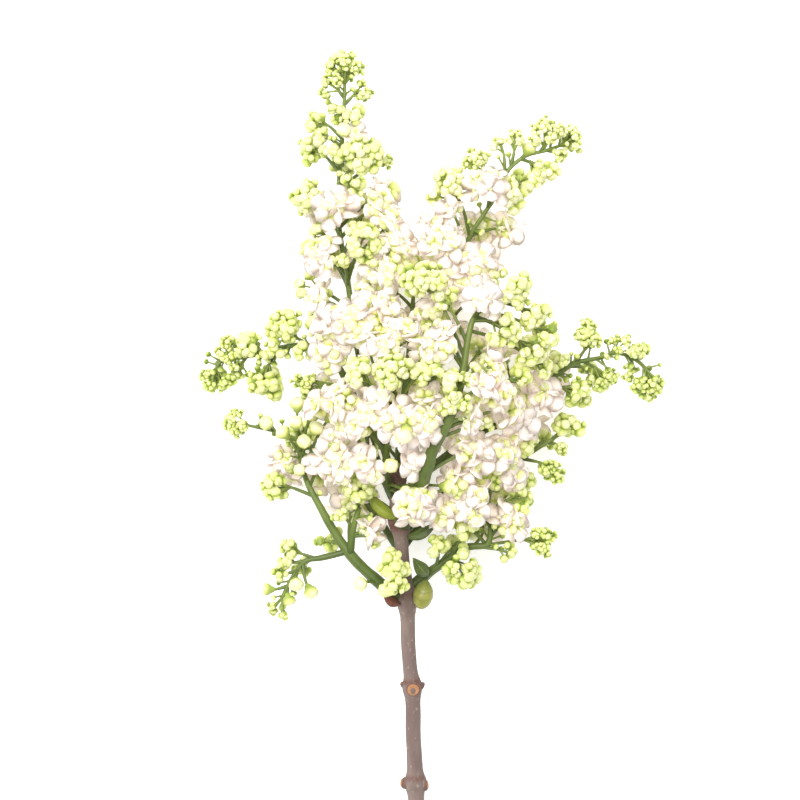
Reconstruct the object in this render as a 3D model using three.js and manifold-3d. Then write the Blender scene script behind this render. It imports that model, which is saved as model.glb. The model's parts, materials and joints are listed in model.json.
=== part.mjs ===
// A cut stem of white lilac, lying on a table with its best side up. Millimetres, +Z up.
// +Y runs along the stem towards the tip of the tallest panicle, and the table is at z = 0.
//
// The woody stem carries leaf scars in pairs. Its upper nodes bear twelve flowering panicles.
// A panicle is one green axis or two, with side stalks. Each stalk ends in a tuft of flowers:
// tight young buds towards the tips ("tip"), plump buds ("bud"), and open florets further in ("open").
import * as THREE from "three";
import { mergeVertices } from "three/addons/utils/BufferGeometryUtils.js";
import Module from "manifold-3d";

const wasm = await Module();
wasm.setup();

const STEM = {
  // centre line from the cut end up to the highest fork
  line: [
    [-11, -199, 3.5], [-11, -184.5, 6.6], [-11, -157, 12.2], [-11.5, -137.5, 16], [-12.5, -115.5, 20.4],
    [-13, -92.5, 25], [-14, -83.5, 26.8], [-15, -69.5, 29.5], [-15.5, -51, 33], [-17.5, -32.5, 36.5],
    [-18.5, -19, 39], [-20, -9.5, 41], [-20.5, -0.5, 42], [-20.5, 8, 43],
  ],
  radius: 3.9,
  taper: 0.9,
  sides: 9,
  steps: 42,
  // where leaf pairs and shoots thicken it
  nodes: [
    { y: -184.5, swell: 1.7, length: 4 },
    { y: -137.5, swell: 1.7, length: 4 },
    { y: -92.5, swell: 1.3, length: 4 },
    { y: -52, swell: 1.6, length: 5 },
    { y: -15, swell: 2.1, length: 6 },
    { y: 5.5, swell: 2.2, length: 5 },
  ],
};
// Leaf scars and stubs of old shoots: where they sit, the way they face, their two radii and height.
const SCARS = [
  { at: [-12.6, -93, 28.6], facing: [0, -0.35, 1], radii: [3.7, 2.7], height: 2.6, sides: 8 },
  { at: [-13.6, -92, 21], facing: [0, -0.35, -1], radii: [3.7, 2.7], height: 2.4, sides: 7 },
  { at: [-8.8, -91.5, 25.4], facing: [1, 0.8, 0], radii: [2, 0.7], height: 3.6, sides: 5 },
  { at: [-17.4, -91, 25.4], facing: [-1, 0.6, 0], radii: [1.8, 0.8], height: 2.4, sides: 5 },
  { at: [-16.6, -137.5, 16.4], facing: [-1, 0.15, 0.2], radii: [3, 1.7], height: 3.4, sides: 7 },
  { at: [-7, -138.5, 16.4], facing: [1, 0.1, 0.2], radii: [3, 1.9], height: 2.6, sides: 7 },
  { at: [-11.1, -184.5, 10.4], facing: [0, -0.3, 1], radii: [3.4, 2.4], height: 3, sides: 7 },
];
const CUT = { at: [-11, -208, 4], facing: [0.25, 0.9, -0.3], size: [40, 20, 40] }; // the slanting cut

// Small leaves, a bract and a bud scale, each a blade bent along a line.
const BLADES = {
  bract_fork: {
    line: [[-20.3, -13.4, 45.7], [-24.5, -11.2, 47.2], [-29.5, -7, 46.8], [-33.5, -1, 45.5]],
    halfWidth: 3.2,
    colour: "bract",
  },
  leaf_fork: {
    line: [[-14.9, -22.5, 40.8], [-8.5, -20.5, 43.5], [-1.5, -15.5, 44]],
    halfWidth: 2.6,
    colour: "leaf",
  },
  leaf_shoot: {
    line: [[-6.2, -40.2, 37.2], [-8.8, -37, 41], [-12.7, -31.8, 43.2]],
    halfWidth: 3.3,
    colour: "leaf",
  },
  scale_lower_left: {
    line: [[-18.6, -53.6, 36.2], [-23, -51.8, 39.4], [-26.5, -48, 40]],
    halfWidth: 2.4,
    colour: "bark",
  },
};
const BLADE_THICKNESS = 1.1;
const BLADE_STEPS = 5;
// The plump bud in the axil below the lower right panicle.
const SHOOT_BUD = { centre: [-8.0, -48.8, 38.5], size: [4.7, 6.9, 4.5], pinch: 0.35, lean: -0.2 };

const AXIS = { sides: 4, stepLength: 18, endRadius: 1.25 };
const STALK = {
  footHalfWidth: 0.45,
  lowest: 11, // the least distance up the axis
  arch: 0.12,
  // how far below its tuft a stalk leaves the axis, as shares of the distance between them
  leans: { tip: [0.75, 1.2, 0.4, 1.8, 0.1], bud: [0.75, 1.2, 0.4, 1.8, 0.1], open: [0.4, 0.8, 1.2, 0.1] },
};
const FLORET = {
  radius: 8.6,
  reach: 0.85, // how far its mouth stands from the stalk's end, as a share of the tuft's radius
  waist: 0.42, // the notch between two lobes, as a share of the floret's radius
  lobeWidth: 0.42,
  droop: 0.3,
  dish: 1.8,
  stalkHalfWidth: 1.2,
  tierHeight: 2.4,
  manyFrom: 10, // a tuft of this radius has two more florets at its sides
};
// A bud's girth and reach as shares of the tuft's radius.
const BUD = { tip: { girth: 0.4, reach: 0.7 }, bud: { girth: 0.43, reach: 0.72 }, belly: 0.58, scale: 1.12 };
const LONE_BUD = { below: 4.2, halfWidth: 0.8, reach: 1.9, girth: 1.05 };
const ONE_RING = { halfWidth: 0.28, tierHeight: 0.5, slim: 1, leans: [0.22] };
const TWO_RINGS = { above: 8.4, halfWidth: 0.24, tierHeight: 0.5, slim: 0.76, leans: [-0.2, 0.5] };
const VARIATION = 0.12;
const SEED = 7;

const CLEARANCE = 0.3; // between two sprays, two tufts, or a spray and the stem
const TABLE = { size: [600, 800, 60] };
const CENTRING = [3.8, -4.6, 0]; // brings the middle of the whole stem over the origin

const FINISHES = {
  bark: { color: 0x8d7a70, roughness: 0.85, metalness: 0 },
  blossom: { color: 0xe9efc4, roughness: 0.6, metalness: 0 },
  bract: { color: 0x8fa443, roughness: 0.6, metalness: 0 },
  leaf: { color: 0x5c7a34, roughness: 0.6, metalness: 0 },
};

// Each axis of a panicle has its centre line, and its tufts as [x, y, z, radius, stage].
const PANICLES = {
  panicle_top: [
    {
      baseRadius: 1.9,
      line: [
        [-22, 4, 42], [-25, 15, 44.5], [-31.5, 38.5, 47], [-38.5, 66, 49], [-41.5, 87, 50], [-43.5, 100.5, 51],
        [-46.5, 119.5, 50], [-47, 137.5, 49], [-45.5, 156, 47], [-44.5, 174.5, 45], [-44, 191, 44],
      ],
      tufts: [
        [-44, 193.5, 44, 8.5, "tip"], [-51, 185.5, 46, 6, "tip"], [-36, 182.5, 45, 6, "tip"],
        [-47.5, 173.5, 51, 5, "bud"], [-39.5, 171, 50, 5.5, "bud"], [-56, 169, 46, 5.5, "bud"],
        [-58.5, 156, 46, 7.5, "bud"], [-39, 161.5, 50, 4.5, "open"], [-35.5, 151.5, 60, 9.5, "bud"],
        [-49, 154.5, 56, 5.5, "bud"], [-25, 150.5, 48, 4, "tip"], [-39.5, 139.5, 62, 5.5, "bud"],
        [-44.5, 164, 56, 3.5, "bud"], [-22, 137.5, 50, 3.5, "bud"], [-61, 133.5, 52, 8.5, "bud"],
        [-48, 129, 62, 7, "open"], [-28.5, 129.5, 56, 8, "open"], [-24, 120, 58, 7, "open"],
        [-35, 113, 69, 9, "bud"], [-54, 108, 62, 8.5, "open"], [-44, 104.5, 66, 4, "bud"],
        [-61, 93, 50, 6, "bud"], [-27, 98.5, 66, 8.5, "open"], [-40.5, 77, 71, 8.5, "open"],
        [-51, 75.5, 62, 8, "open"], [-26.5, 80, 68, 8.5, "open"], [-45.5, 150.5, 34, 7, "bud"],
        [-53, 127.5, 33, 8, "open"], [-36, 123, 31, 8, "open"], [-49.5, 104.5, 33, 8, "open"],
        [-29, 100.5, 34, 7.5, "open"], [-26, 135, 48, 5.5, "open"], [-56.5, 117.5, 55, 5, "bud"],
        [-19.5, 111.5, 62, 7, "open"], [-31.5, 88, 58, 7.5, "open"], [-55.5, 87, 54, 7, "open"],
        [-18, 100, 56, 7.5, "open"], [-54.5, 162.5, 47, 4.5, "bud"],
      ],
    },
  ],
  panicle_upper_right: [
    {
      baseRadius: 1.9,
      line: [
        [-18, 4, 42], [-13, 15.5, 42.5], [-6, 44.5, 43], [2, 75.5, 44], [6.5, 96, 45], [12.5, 114.5, 47],
        [20, 126.5, 49], [27, 137.5, 49], [31, 146.5, 48], [39, 153, 47], [48, 155.5, 46], [56, 158.5, 44],
        [61, 161.5, 43],
      ],
      tufts: [
        [60, 161, 43, 7, "tip"], [48.5, 162.5, 48, 7, "tip"], [55, 153.5, 44, 4, "tip"],
        [40.5, 156.5, 48, 3.5, "tip"], [45, 146, 45, 7.5, "bud"], [33.5, 159.5, 50, 5, "tip"],
        [27.5, 158.5, 49, 5, "tip"], [17, 149.5, 50, 6.5, "tip"], [5, 137.5, 55, 9, "bud"],
        [32, 134.5, 51, 7.5, "bud"], [21.5, 138.5, 58, 8, "open"], [5, 127, 58, 5, "open"],
        [-4, 121.5, 54, 6.5, "open"], [0, 110, 61, 8.5, "open"], [17, 103.5, 60, 7.5, "open"],
        [24.5, 97, 58, 5.5, "bud"], [29, 120, 40, 5.5, "open"], [3.5, 94.5, 64, 8, "open"],
        [36.5, 141, 35, 6.5, "bud"], [17, 120, 35, 8, "open"], [5, 102.5, 33, 8, "open"],
        [-0.5, 81.5, 36, 8, "open"], [3, 114.5, 60, 6, "open"], [16.5, 88, 66, 8, "open"],
      ],
    },
  ],
  panicle_left: [
    {
      baseRadius: 2,
      line: [
        [-21.5, -5, 40], [-27, 7, 39], [-34.5, 27, 38], [-42.5, 48, 38], [-51, 61, 38], [-61, 66, 38],
        [-71.5, 65.5, 37], [-84, 62, 34], [-94.5, 60.5, 31], [-101.5, 59, 28], [-104.5, 53, 26],
      ],
      tufts: [
        [-102.5, 50.5, 25, 7.5, "tip"], [-98.5, 66.5, 33, 6, "tip"], [-88.5, 66.5, 39, 7, "bud"],
        [-95.5, 59, 34, 4.5, "tip"], [-80, 50.5, 31, 9, "bud"], [-77.5, 63.5, 43, 6, "bud"],
        [-70, 74, 44, 9, "bud"], [-63.5, 64, 50, 5.5, "bud"], [-58, 75.5, 52, 7, "bud"],
        [-59.5, 47.5, 38, 8, "tip"], [-49.5, 63, 60, 8, "open"], [-92.5, 54, 27, 4.5, "tip"],
        [-53, 43, 27, 8, "open"],
      ],
    },
  ],
  panicle_right: [
    {
      baseRadius: 2,
      line: [
        [-19.5, -6, 40], [-9.5, 5.5, 41], [6.5, 18, 42], [27.5, 31.5, 44], [41, 41, 44], [49.5, 49, 43],
        [61, 57.5, 41], [74, 60.5, 39], [80.5, 62.5, 37], [87.5, 61, 35], [94, 56.5, 33], [97, 51.5, 31],
      ],
      tufts: [
        [97.5, 48.5, 30, 7.5, "tip"], [83, 65.5, 39, 6.5, "tip"], [92, 63, 38, 5.5, "tip"],
        [74.5, 51.5, 36, 7.5, "tip"], [68, 69.5, 42, 7, "tip"], [61.5, 44, 42, 7.5, "bud"],
        [88.5, 55, 32, 5, "tip"], [54, 59.5, 47, 6, "bud"], [44, 44.5, 52, 8, "open"],
        [34.5, 31.5, 56, 8.5, "open"], [68.5, 54.5, 27, 6, "bud"], [48, 54, 28, 8, "open"],
        [33, 40, 28, 8, "open"], [18, 34.5, 52, 7, "open"],
      ],
    },
  ],
  panicle_front: [
    {
      baseRadius: 4,
      line: [
        [-18, -15, 41], [-13.5, -8.5, 51], [-9.5, 0, 65], [-7, 8.5, 75], [-4, 18, 81], [0.5, 26.5, 86],
        [5, 36, 89], [8.5, 48, 87], [10.5, 58.5, 85], [12, 68.5, 84], [15, 78.5, 83], [22.5, 85, 82],
        [33.5, 88.5, 80],
      ],
      tufts: [
        [33.5, 88.5, 82, 8, "bud"], [41, 79, 80, 7, "bud"], [47.5, 69.5, 76, 7, "bud"],
        [39.5, 63, 80, 7.5, "bud"], [28.5, 73.5, 88, 7.5, "bud"], [46, 55.5, 68, 5.5, "bud"],
        [35, 51, 78, 6, "bud"], [-7, 94, 84, 9, "bud"], [1, 85, 84, 6, "bud"], [7, 48.5, 94, 7.5, "bud"],
        [10.5, 38.5, 97, 4, "bud"], [19, 85.5, 92, 5.5, "open"], [26, 85, 91, 4, "bud"],
        [-2, 54, 92, 6, "bud"], [12.5, 39.5, 86, 6, "bud"], [21, 30, 80, 4, "bud"], [31, 37, 78, 6.5, "open"],
        [23.5, 45, 86, 8.5, "open"], [-0.5, 66, 90, 9.5, "open"], [6.5, 0.5, 66, 5.5, "bud"],
        [18, 63, 62, 8, "open"], [-4, 77, 66, 8, "open"], [13.5, 18, 70, 7, "open"], [-7.5, 40, 78, 7, "open"],
        [22.5, 55.5, 84, 7, "open"],
      ],
    },
  ],
  panicle_front_left: [
    {
      baseRadius: 2,
      line: [
        [-21.5, -3.5, 41], [-24, 1.5, 50], [-25.5, 8.5, 60], [-24, 22.5, 72], [-20.5, 44.5, 82],
      ],
      tufts: [
        [-24, 53, 91, 9.5, "bud"], [-37, 53.5, 86, 7.5, "bud"], [-10.5, 52, 90, 6, "bud"],
        [-20, 30, 90, 10, "open"], [-8.5, 30, 88, 7.5, "open"], [-17, 24.5, 99, 3.5, "bud"],
        [-23, 11.5, 80, 3.5, "bud"], [-44, 40, 76, 8.5, "open"], [-41, 32.5, 72, 6.5, "open"],
        [-33.5, 12, 72, 7, "open"], [-44, 10.5, 60, 7.5, "open"], [-13, 11.5, 76, 4.5, "open"],
        [-16.5, -0.5, 70, 3, "bud"], [2.5, 1.5, 66, 3.5, "bud"], [-18.5, 69.5, 80, 8, "open"],
        [-34.5, 68.5, 70, 8, "open"], [-26, 64, 86, 6, "open"], [-7.5, 63, 84, 6, "open"],
        [-54.5, 39, 62, 6.5, "open"], [-12.5, -7.5, 70, 7.5, "open"], [-28, 40, 70, 7, "open"],
        [-34.5, 31, 82, 7.5, "open"],
      ],
    },
  ],
  panicle_lower_left: [
    {
      baseRadius: 2.9,
      line: [
        [-15.5, -52, 32], [-23.5, -47.5, 34], [-30, -42, 36], [-38.5, -34, 38], [-43.5, -28, 39],
        [-49.5, -19, 40], [-56, -7.5, 42], [-61, 2, 42], [-64.5, 12.5, 42], [-65.5, 22.5, 43],
      ],
      tufts: [
        [-66, 38.5, 50, 3.5, "bud"], [-66.5, 30, 52, 3.5, "bud"], [-57.5, 27.5, 52, 3.5, "bud"],
        [-72, 25.5, 48, 3.5, "bud"], [-63, 21.5, 50, 3.5, "bud"], [-50.5, 33.5, 52, 3.5, "bud"],
        [-59.5, 34.5, 46, 5.5, "bud"], [-75.5, 1, 44, 7.5, "bud"], [-64.5, 8.5, 49, 3, "bud"],
        [-54.5, 10.5, 48, 7, "open"], [-49, 22.5, 50, 6.5, "open"], [-21.5, -37.5, 52, 9, "bud"],
        [-36.5, -43.5, 46, 3.5, "bud"], [-25.5, -46.5, 46, 3.5, "bud"], [-51, -23.5, 27, 6.5, "bud"],
        [-41, -10.5, 24, 7.5, "open"],
      ],
    },
    {
      baseRadius: 1.9,
      line: [
        [-42, -30, 39], [-41, -23.5, 42], [-39.5, -15, 45], [-37, -8.5, 48],
      ],
      tufts: [
        [-38, 0, 52, 7.5, "bud"], [-46, -12, 48, 4, "bud"], [-34, -19, 46, 4, "open"],
        [-30.5, -23, 45, 4, "bud"],
      ],
    },
    {
      baseRadius: 1.4,
      line: [
        [-43.5, -29, 39], [-49, -30.5, 39], [-55.5, -32, 39], [-62.5, -33.5, 38], [-69, -42, 37],
        [-73.5, -51, 36],
      ],
      tufts: [
        [-68, -27.5, 40, 5.5, "bud"], [-71, -33.5, 38, 4.5, "bud"], [-74.5, -39, 37, 4, "bud"],
        [-66.5, -43.5, 43, 3.5, "bud"], [-60, -47, 42, 3.5, "bud"], [-79.5, -46.5, 36, 3, "bud"],
        [-70, -51, 37, 3, "bud"], [-75.5, -55, 35, 6, "tip"], [-64, -36.5, 27, 5, "bud"],
      ],
    },
  ],
  panicle_lower_right: [
    {
      baseRadius: 2.4,
      line: [
        [-16, -47.5, 32], [-8, -41, 32.5], [-0.5, -35.5, 37], [12.5, -27, 41], [21.5, -25.5, 42],
        [23, -17, 43], [22, -7.5, 44], [23.5, 0.5, 45],
      ],
      tufts: [
        [10, -36, 46, 9.5, "bud"], [-2, -26.5, 49, 6, "bud"], [10.5, -18.5, 53, 6.5, "bud"],
        [31, -29, 42, 4.5, "bud"], [45, -23.5, 39, 7.5, "tip"], [36, -4, 44, 6.5, "bud"],
        [23, 4, 52, 6, "bud"], [8, 5, 60, 6.5, "open"], [2, -11.5, 56, 6.5, "open"],
        [14.5, -6.5, 58, 8.5, "open"], [31, -15, 46, 7.5, "open"], [5, -26.5, 27, 6.5, "bud"],
        [20, -18, 26, 8, "open"], [29.5, -5, 28, 7.5, "open"],
      ],
    },
  ],
  panicle_right_lower: [
    {
      baseRadius: 1.9,
      line: [
        [-18, -20.5, 37], [-5, -10, 35], [13.5, 0.5, 35], [32, 10.5, 35], [48, 20.5, 35], [56, 25.5, 34.5],
      ],
      tufts: [
        [57.5, 29, 35, 7.5, "bud"], [56, 19, 32, 4, "tip"], [50, 9, 37, 7, "tip"],
        [37.5, 20.5, 46, 7.5, "bud"], [40.5, 4, 40, 4.5, "bud"], [27.5, 17, 60, 8, "open"],
        [13.5, 17, 66, 8.5, "open"], [33, 7, 50, 6.5, "open"], [48, 22.5, 22, 6.5, "bud"],
        [27.5, 8, 21, 8, "open"],
      ],
    },
  ],
  panicle_back: [
    {
      baseRadius: 2.3,
      line: [
        [-19, -14.5, 38], [-19.5, 4, 28], [-18, 31.5, 22], [-15, 57, 18], [-13, 82.5, 17], [-11.5, 101.5, 14],
      ],
      tufts: [
        [-11, 106, 12, 7.5, "bud"], [0.5, 92.5, 13, 8, "open"], [-24, 92.5, 12, 8, "open"],
        [4.5, 70.5, 12, 8, "open"], [-30.5, 70.5, 11, 8, "open"], [-13, 77, 7, 8, "open"],
        [-0.5, 47.5, 12, 7.5, "bud"], [-32.5, 47.5, 12, 8, "open"], [-17, 52, 7, 8, "open"],
        [-4, 26, 12, 8, "open"], [-33.5, 25.5, 12, 7.5, "bud"], [-18, 27, 8, 8, "open"],
      ],
    },
  ],
  panicle_back_right: [
    {
      baseRadius: 1.8,
      line: [
        [-16.5, -26.5, 34], [-0.5, -3.5, 24], [17, 21.5, 18], [32, 44.5, 15], [42.5, 62, 14],
      ],
      tufts: [
        [45, 65.5, 13, 7.5, "bud"], [29, 60, 8, 8, "open"], [50, 47.5, 9, 7.5, "open"],
        [22, 40, 8, 7.5, "bud"], [39.5, 28, 10, 7.5, "open"], [11.5, 19.5, 8, 7.5, "open"],
        [23.5, 8.5, 12, 7.5, "open"],
      ],
    },
  ],
  panicle_back_left: [
    {
      baseRadius: 1.8,
      line: [
        [-20.5, -26.5, 34], [-32.5, -9, 24], [-48.5, 8.5, 19], [-67, 22.5, 22], [-85.5, 29, 27],
      ],
      tufts: [
        [-94.5, 30, 28, 7, "tip"], [-80.5, 30, 34, 3.5, "bud"], [-71.5, 14, 32, 6.5, "open"],
        [-64, 24.5, 9, 7.5, "bud"], [-54.5, 7, 8, 8, "open"], [-46.5, 22.5, 9, 7.5, "open"],
        [-39.5, -1.5, 9, 7.5, "open"], [-35.5, 12.5, 7, 7, "bud"], [-69.5, 9.5, 12, 7, "open"],
      ],
    },
  ],
};

// Small shifts, tried in turn when a tuft would cross another one.
const SHIFTS = [
  [0, 0, 0], [0, 0, 3], [0, 0, -3], [2, 0, 0], [-2, 0, 0], [0, 2, 0], [0, -2, 0], [2, 2, 5], [-2, 2, 5],
  [2, -2, 5], [-2, -2, 5], [2, 2, -5], [-2, 2, -5], [2, -2, -5], [-2, -2, -5], [0, 0, 7], [0, 0, -7],
  [4, 0, 3], [-4, 0, 3], [0, 4, 3], [0, -4, 3], [4, 0, -4], [-4, 0, -4], [0, 4, -4], [0, -4, -4],
  [0, 0, 11], [0, 0, -11], [4, 4, 6], [-4, 4, 6], [4, -4, 6], [-4, -4, 6],
];

const vector = ([x, y, z]) => new THREE.Vector3(x, y, z);
const curveThrough = (points) => new THREE.CatmullRomCurve3(points.map(vector), false, "centripetal");

// A linear congruential draw, so that the stem always grows the same.
function seeded(seed) {
  let state = seed;
  return () => {
    state = (state * 1664525 + 1013904223) % 4294967296;
    return state / 4294967296;
  };
}

function solidOf(geometry) {
  geometry.deleteAttribute("normal");
  geometry.deleteAttribute("uv");
  const welded = mergeVertices(geometry, 1e-4);
  return new wasm.Manifold(
    new wasm.Mesh({
      numProp: 3,
      vertProperties: welded.attributes.position.array,
      triVerts: new Uint32Array(welded.index.array),
    }),
  );
}

function meshOf(name, solid, finish) {
  const { vertProperties, triVerts } = solid.getMesh();
  const geometry = new THREE.BufferGeometry();
  geometry.setAttribute("position", new THREE.BufferAttribute(vertProperties, 3));
  geometry.setIndex(new THREE.BufferAttribute(triVerts, 1));
  geometry.computeVertexNormals();
  const mesh = new THREE.Mesh(geometry, new THREE.MeshStandardMaterial(finish));
  mesh.name = name;
  return mesh;
}

// Turns +Y onto a direction and moves to a point.
function placed(geometry, at, facing) {
  const turn = new THREE.Quaternion().setFromUnitVectors(vector([0, 1, 0]), vector(facing).normalize());
  return geometry.applyMatrix4(new THREE.Matrix4().compose(vector(at), turn, vector([1, 1, 1])));
}

// A closed cylinder bent along a curve. radiusAt takes the share of the length.
function sweep(curve, radiusAt, sides, steps) {
  const geometry = new THREE.CylinderGeometry(1, 1, 1, sides, steps);
  const frames = curve.computeFrenetFrames(steps);
  const positions = geometry.attributes.position;
  for (let i = 0; i < positions.count; i++) {
    const ring = Math.round((positions.getY(i) + 0.5) * steps);
    const share = ring / steps;
    const point = curve.getPointAt(share);
    point.addScaledVector(frames.binormals[ring], positions.getX(i) * radiusAt(share));
    point.addScaledVector(frames.normals[ring], positions.getZ(i) * radiusAt(share));
    positions.setXYZ(i, point.x, point.y, point.z);
  }
  return geometry;
}

// Points and triangles gathered into one closed shape.
class Shape {
  positions = [];
  faces = [];
  point({ x, y, z }) {
    return this.positions.push(x, y, z) / 3 - 1;
  }
  at(i) {
    return new THREE.Vector3().fromArray(this.positions, i * 3);
  }
  triangle(a, b, c) {
    this.faces.push(a, b, c);
  }
  quad([a, b, c, d]) {
    this.triangle(a, b, c);
    this.triangle(a, c, d);
  }
  geometry() {
    const geometry = new THREE.BufferGeometry();
    geometry.setAttribute("position", new THREE.Float32BufferAttribute(this.positions, 3));
    geometry.setIndex(this.faces);
    return geometry;
  }
}

// grown thickens the stem and lengthens its upper end.
function woodyStem(grown = 0) {
  const { line, radius, taper, sides, steps, nodes } = STEM;
  const [x, y, z] = line.at(-1);
  const curve = curveThrough([...line.slice(0, -1), [x, y + grown, z]]);
  const radiusAt = (share) => {
    const along = curve.getPointAt(share).y;
    const swelling = nodes.reduce(
      (sum, node) => sum + node.swell * Math.exp(-(((along - node.y) / node.length) ** 2)),
      0,
    );
    return radius - taper * share + swelling + grown;
  };
  return solidOf(sweep(curve, radiusAt, sides, steps));
}

function scar({ at, facing, radii: [base, end], height, sides }) {
  return solidOf(placed(new THREE.CylinderGeometry(end, base, height, sides), at, facing));
}

// A blade with a diamond section that tapers to a point at both ends.
function blade({ line, halfWidth }) {
  const curve = curveThrough(line);
  const shape = new Shape();
  const up = vector([0, 0, 1]);
  const [foot, tip] = [0, 1].map((share) => shape.point(curve.getPointAt(share)));
  const rings = Array.from({ length: BLADE_STEPS - 1 }, (_, i) => {
    const share = (i + 1) / BLADE_STEPS;
    const side = curve.getTangentAt(share).cross(up).normalize();
    const half = halfWidth * Math.sin(Math.PI * share ** 0.8);
    const thick = BLADE_THICKNESS / 2;
    return [[half, 0], [0, thick], [-half, 0], [0, -thick]].map(([across, rise]) =>
      shape.point(curve.getPointAt(share).addScaledVector(side, across).addScaledVector(up, rise)),
    );
  });
  for (let i = 0; i < 4; i++) {
    const next = (i + 1) % 4;
    shape.triangle(foot, rings[0][i], rings[0][next]);
    shape.triangle(tip, rings.at(-1)[next], rings.at(-1)[i]);
    rings.slice(1).forEach((upper, k) =>
      shape.quad([rings[k][next], rings[k][i], upper[i], upper[next]]),
    );
  }
  return solidOf(shape.geometry());
}

function shootBud() {
  const { centre, size, pinch, lean } = SHOOT_BUD;
  const geometry = new THREE.SphereGeometry(1, 8, 6);
  const positions = geometry.attributes.position;
  for (let i = 0; i < positions.count; i++) {
    const y = positions.getY(i);
    const slim = y > 0 ? 1 - pinch * y * y : 1;
    positions.setXYZ(i, positions.getX(i) * slim * size[0], y * size[1], positions.getZ(i) * slim * size[2]);
  }
  return solidOf(geometry.rotateZ(lean).translate(...centre));
}

// The middle of a four-sided face, its outward direction leaned towards another, and its corners'.
function faceFrame(shape, corners, lean, towards) {
  const points = corners.map((i) => shape.at(i));
  const middle = points.reduce((sum, p) => sum.add(p), new THREE.Vector3()).divideScalar(4);
  const along = points[2].clone().sub(points[0]);
  const across = points[3].clone().sub(points[1]);
  const normal = along.cross(across).normalize().addScaledVector(towards, lean).normalize();
  const spokes = points.map((p) => p.sub(middle).projectOnPlane(normal).normalize());
  const out = (rise, direction, radius) =>
    shape.point(middle.clone().addScaledVector(normal, rise).addScaledVector(direction, radius));
  return { normal, spokes, out };
}

// Draws a face out into a bud: four flanks swell to a belly and close in a point.
function growBud(shape, corners, { reach, girth, lean = 0 }, towards) {
  const { normal, spokes, out } = faceFrame(shape, corners, lean, towards);
  const belly = spokes.map((spoke, i) =>
    out(reach * BUD.belly, spoke.clone().add(spokes[(i + 1) % 4]).normalize(), girth),
  );
  const tip = out(reach, normal, 0);
  corners.forEach((corner, i) => {
    const next = (i + 1) % 4;
    shape.triangle(corner, corners[next], belly[i]);
    shape.triangle(corners[next], belly[next], belly[i]);
    shape.triangle(belly[i], belly[next], tip);
  });
}

// Draws a face out into an open floret: a narrow tube that flares into four blunt lobes.
function growFloret(shape, corners, { reach, girth }, towards) {
  const { normal, spokes, out } = faceFrame(shape, corners, 0, towards);
  const { waist, droop, dish, lobeWidth } = FLORET;
  const lobeTip = (spoke, neighbour) =>
    out(reach, spoke.clone().addScaledVector(neighbour, lobeWidth).normalize(), girth);
  const lobes = spokes.map((spoke, i) => {
    const before = spokes[(i + 3) % 4];
    const after = spokes[(i + 1) % 4];
    const notch = out(reach - droop, spoke.clone().add(after).normalize(), girth * waist);
    return [lobeTip(spoke, before), lobeTip(spoke, after), notch];
  });
  const throat = out(reach - dish, normal, 0);
  corners.forEach((corner, i) => {
    const [left, right, notch] = lobes[i];
    const [nextLeft] = lobes[(i + 1) % 4];
    const nextCorner = corners[(i + 1) % 4];
    shape.triangle(corner, right, left);
    shape.triangle(corner, notch, right);
    shape.triangle(corner, nextCorner, notch);
    shape.triangle(nextCorner, nextLeft, notch);
    shape.triangle(left, right, throat);
    shape.triangle(right, notch, throat);
    shape.triangle(notch, nextLeft, throat);
  });
}

// What a tuft's core carries: a flower on top, and rings of four faces with a flower or none on each.
function tuftPlan(size, stage, draw) {
  const vary = (value) => value * (1 + VARIATION * (2 * draw() - 1));
  if (stage === "open") {
    const floret = () => ({ grow: growFloret, reach: vary(size * FLORET.reach), girth: vary(FLORET.radius) });
    const rings = size < FLORET.manyFrom ? [] : [[floret(), null, floret(), null]];
    return { halfWidth: FLORET.stalkHalfWidth, tierHeight: FLORET.tierHeight, rings, top: floret() };
  }
  const radius = size * BUD.scale;
  if (radius < LONE_BUD.below) {
    const top = { grow: growBud, reach: radius * LONE_BUD.reach, girth: radius * LONE_BUD.girth };
    return { halfWidth: LONE_BUD.halfWidth, tierHeight: 0, rings: [], top };
  }
  const { halfWidth, tierHeight, slim, leans } = radius > TWO_RINGS.above ? TWO_RINGS : ONE_RING;
  const { girth, reach } = BUD[stage];
  const bud = (lean) => {
    return { grow: growBud, reach: vary(radius * reach), girth: vary(radius * girth * slim), lean };
  };
  const rings = leans.map((lean) => [bud(lean), bud(lean), bud(lean), bud(lean)]);
  return { halfWidth: halfWidth * radius, tierHeight: tierHeight * radius, rings, top: bud(0) };
}

// A square stalk that ends in a core, with the core's faces drawn out into flowers.
function tuft({ curve, outward }, plan, spin) {
  const shape = new Shape();
  let side = vector([Math.cos(spin), Math.sin(spin), 0.3]);
  const square = (centre, tangent, half) => {
    side = side.clone().projectOnPlane(tangent).normalize();
    const other = tangent.clone().cross(side);
    return [[1, 1], [-1, 1], [-1, -1], [1, -1]].map(([a, b]) =>
      shape.point(centre.clone().addScaledVector(side, a * half).addScaledVector(other, b * half)),
    );
  };
  const foot = square(curve.getPointAt(0), curve.getTangentAt(0), STALK.footHalfWidth);
  let lower = square(curve.getPointAt(1), outward, plan.halfWidth);
  shape.quad([...foot].reverse());
  for (let i = 0; i < 4; i++) shape.quad([foot[i], foot[(i + 1) % 4], lower[(i + 1) % 4], lower[i]]);
  plan.rings.forEach((flowers, k) => {
    const centre = curve.getPointAt(1).addScaledVector(outward, (k + 1) * plan.tierHeight);
    const upper = square(centre, outward, plan.halfWidth);
    flowers.forEach((flower, i) => {
      const next = (i + 1) % 4;
      const corners = [lower[i], lower[next], upper[next], upper[i]];
      if (flower) flower.grow(shape, corners, flower, outward);
      else shape.quad(corners);
    });
    lower = upper;
  });
  plan.top.grow(shape, lower, plan.top, outward);
  return solidOf(shape.geometry());
}

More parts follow.
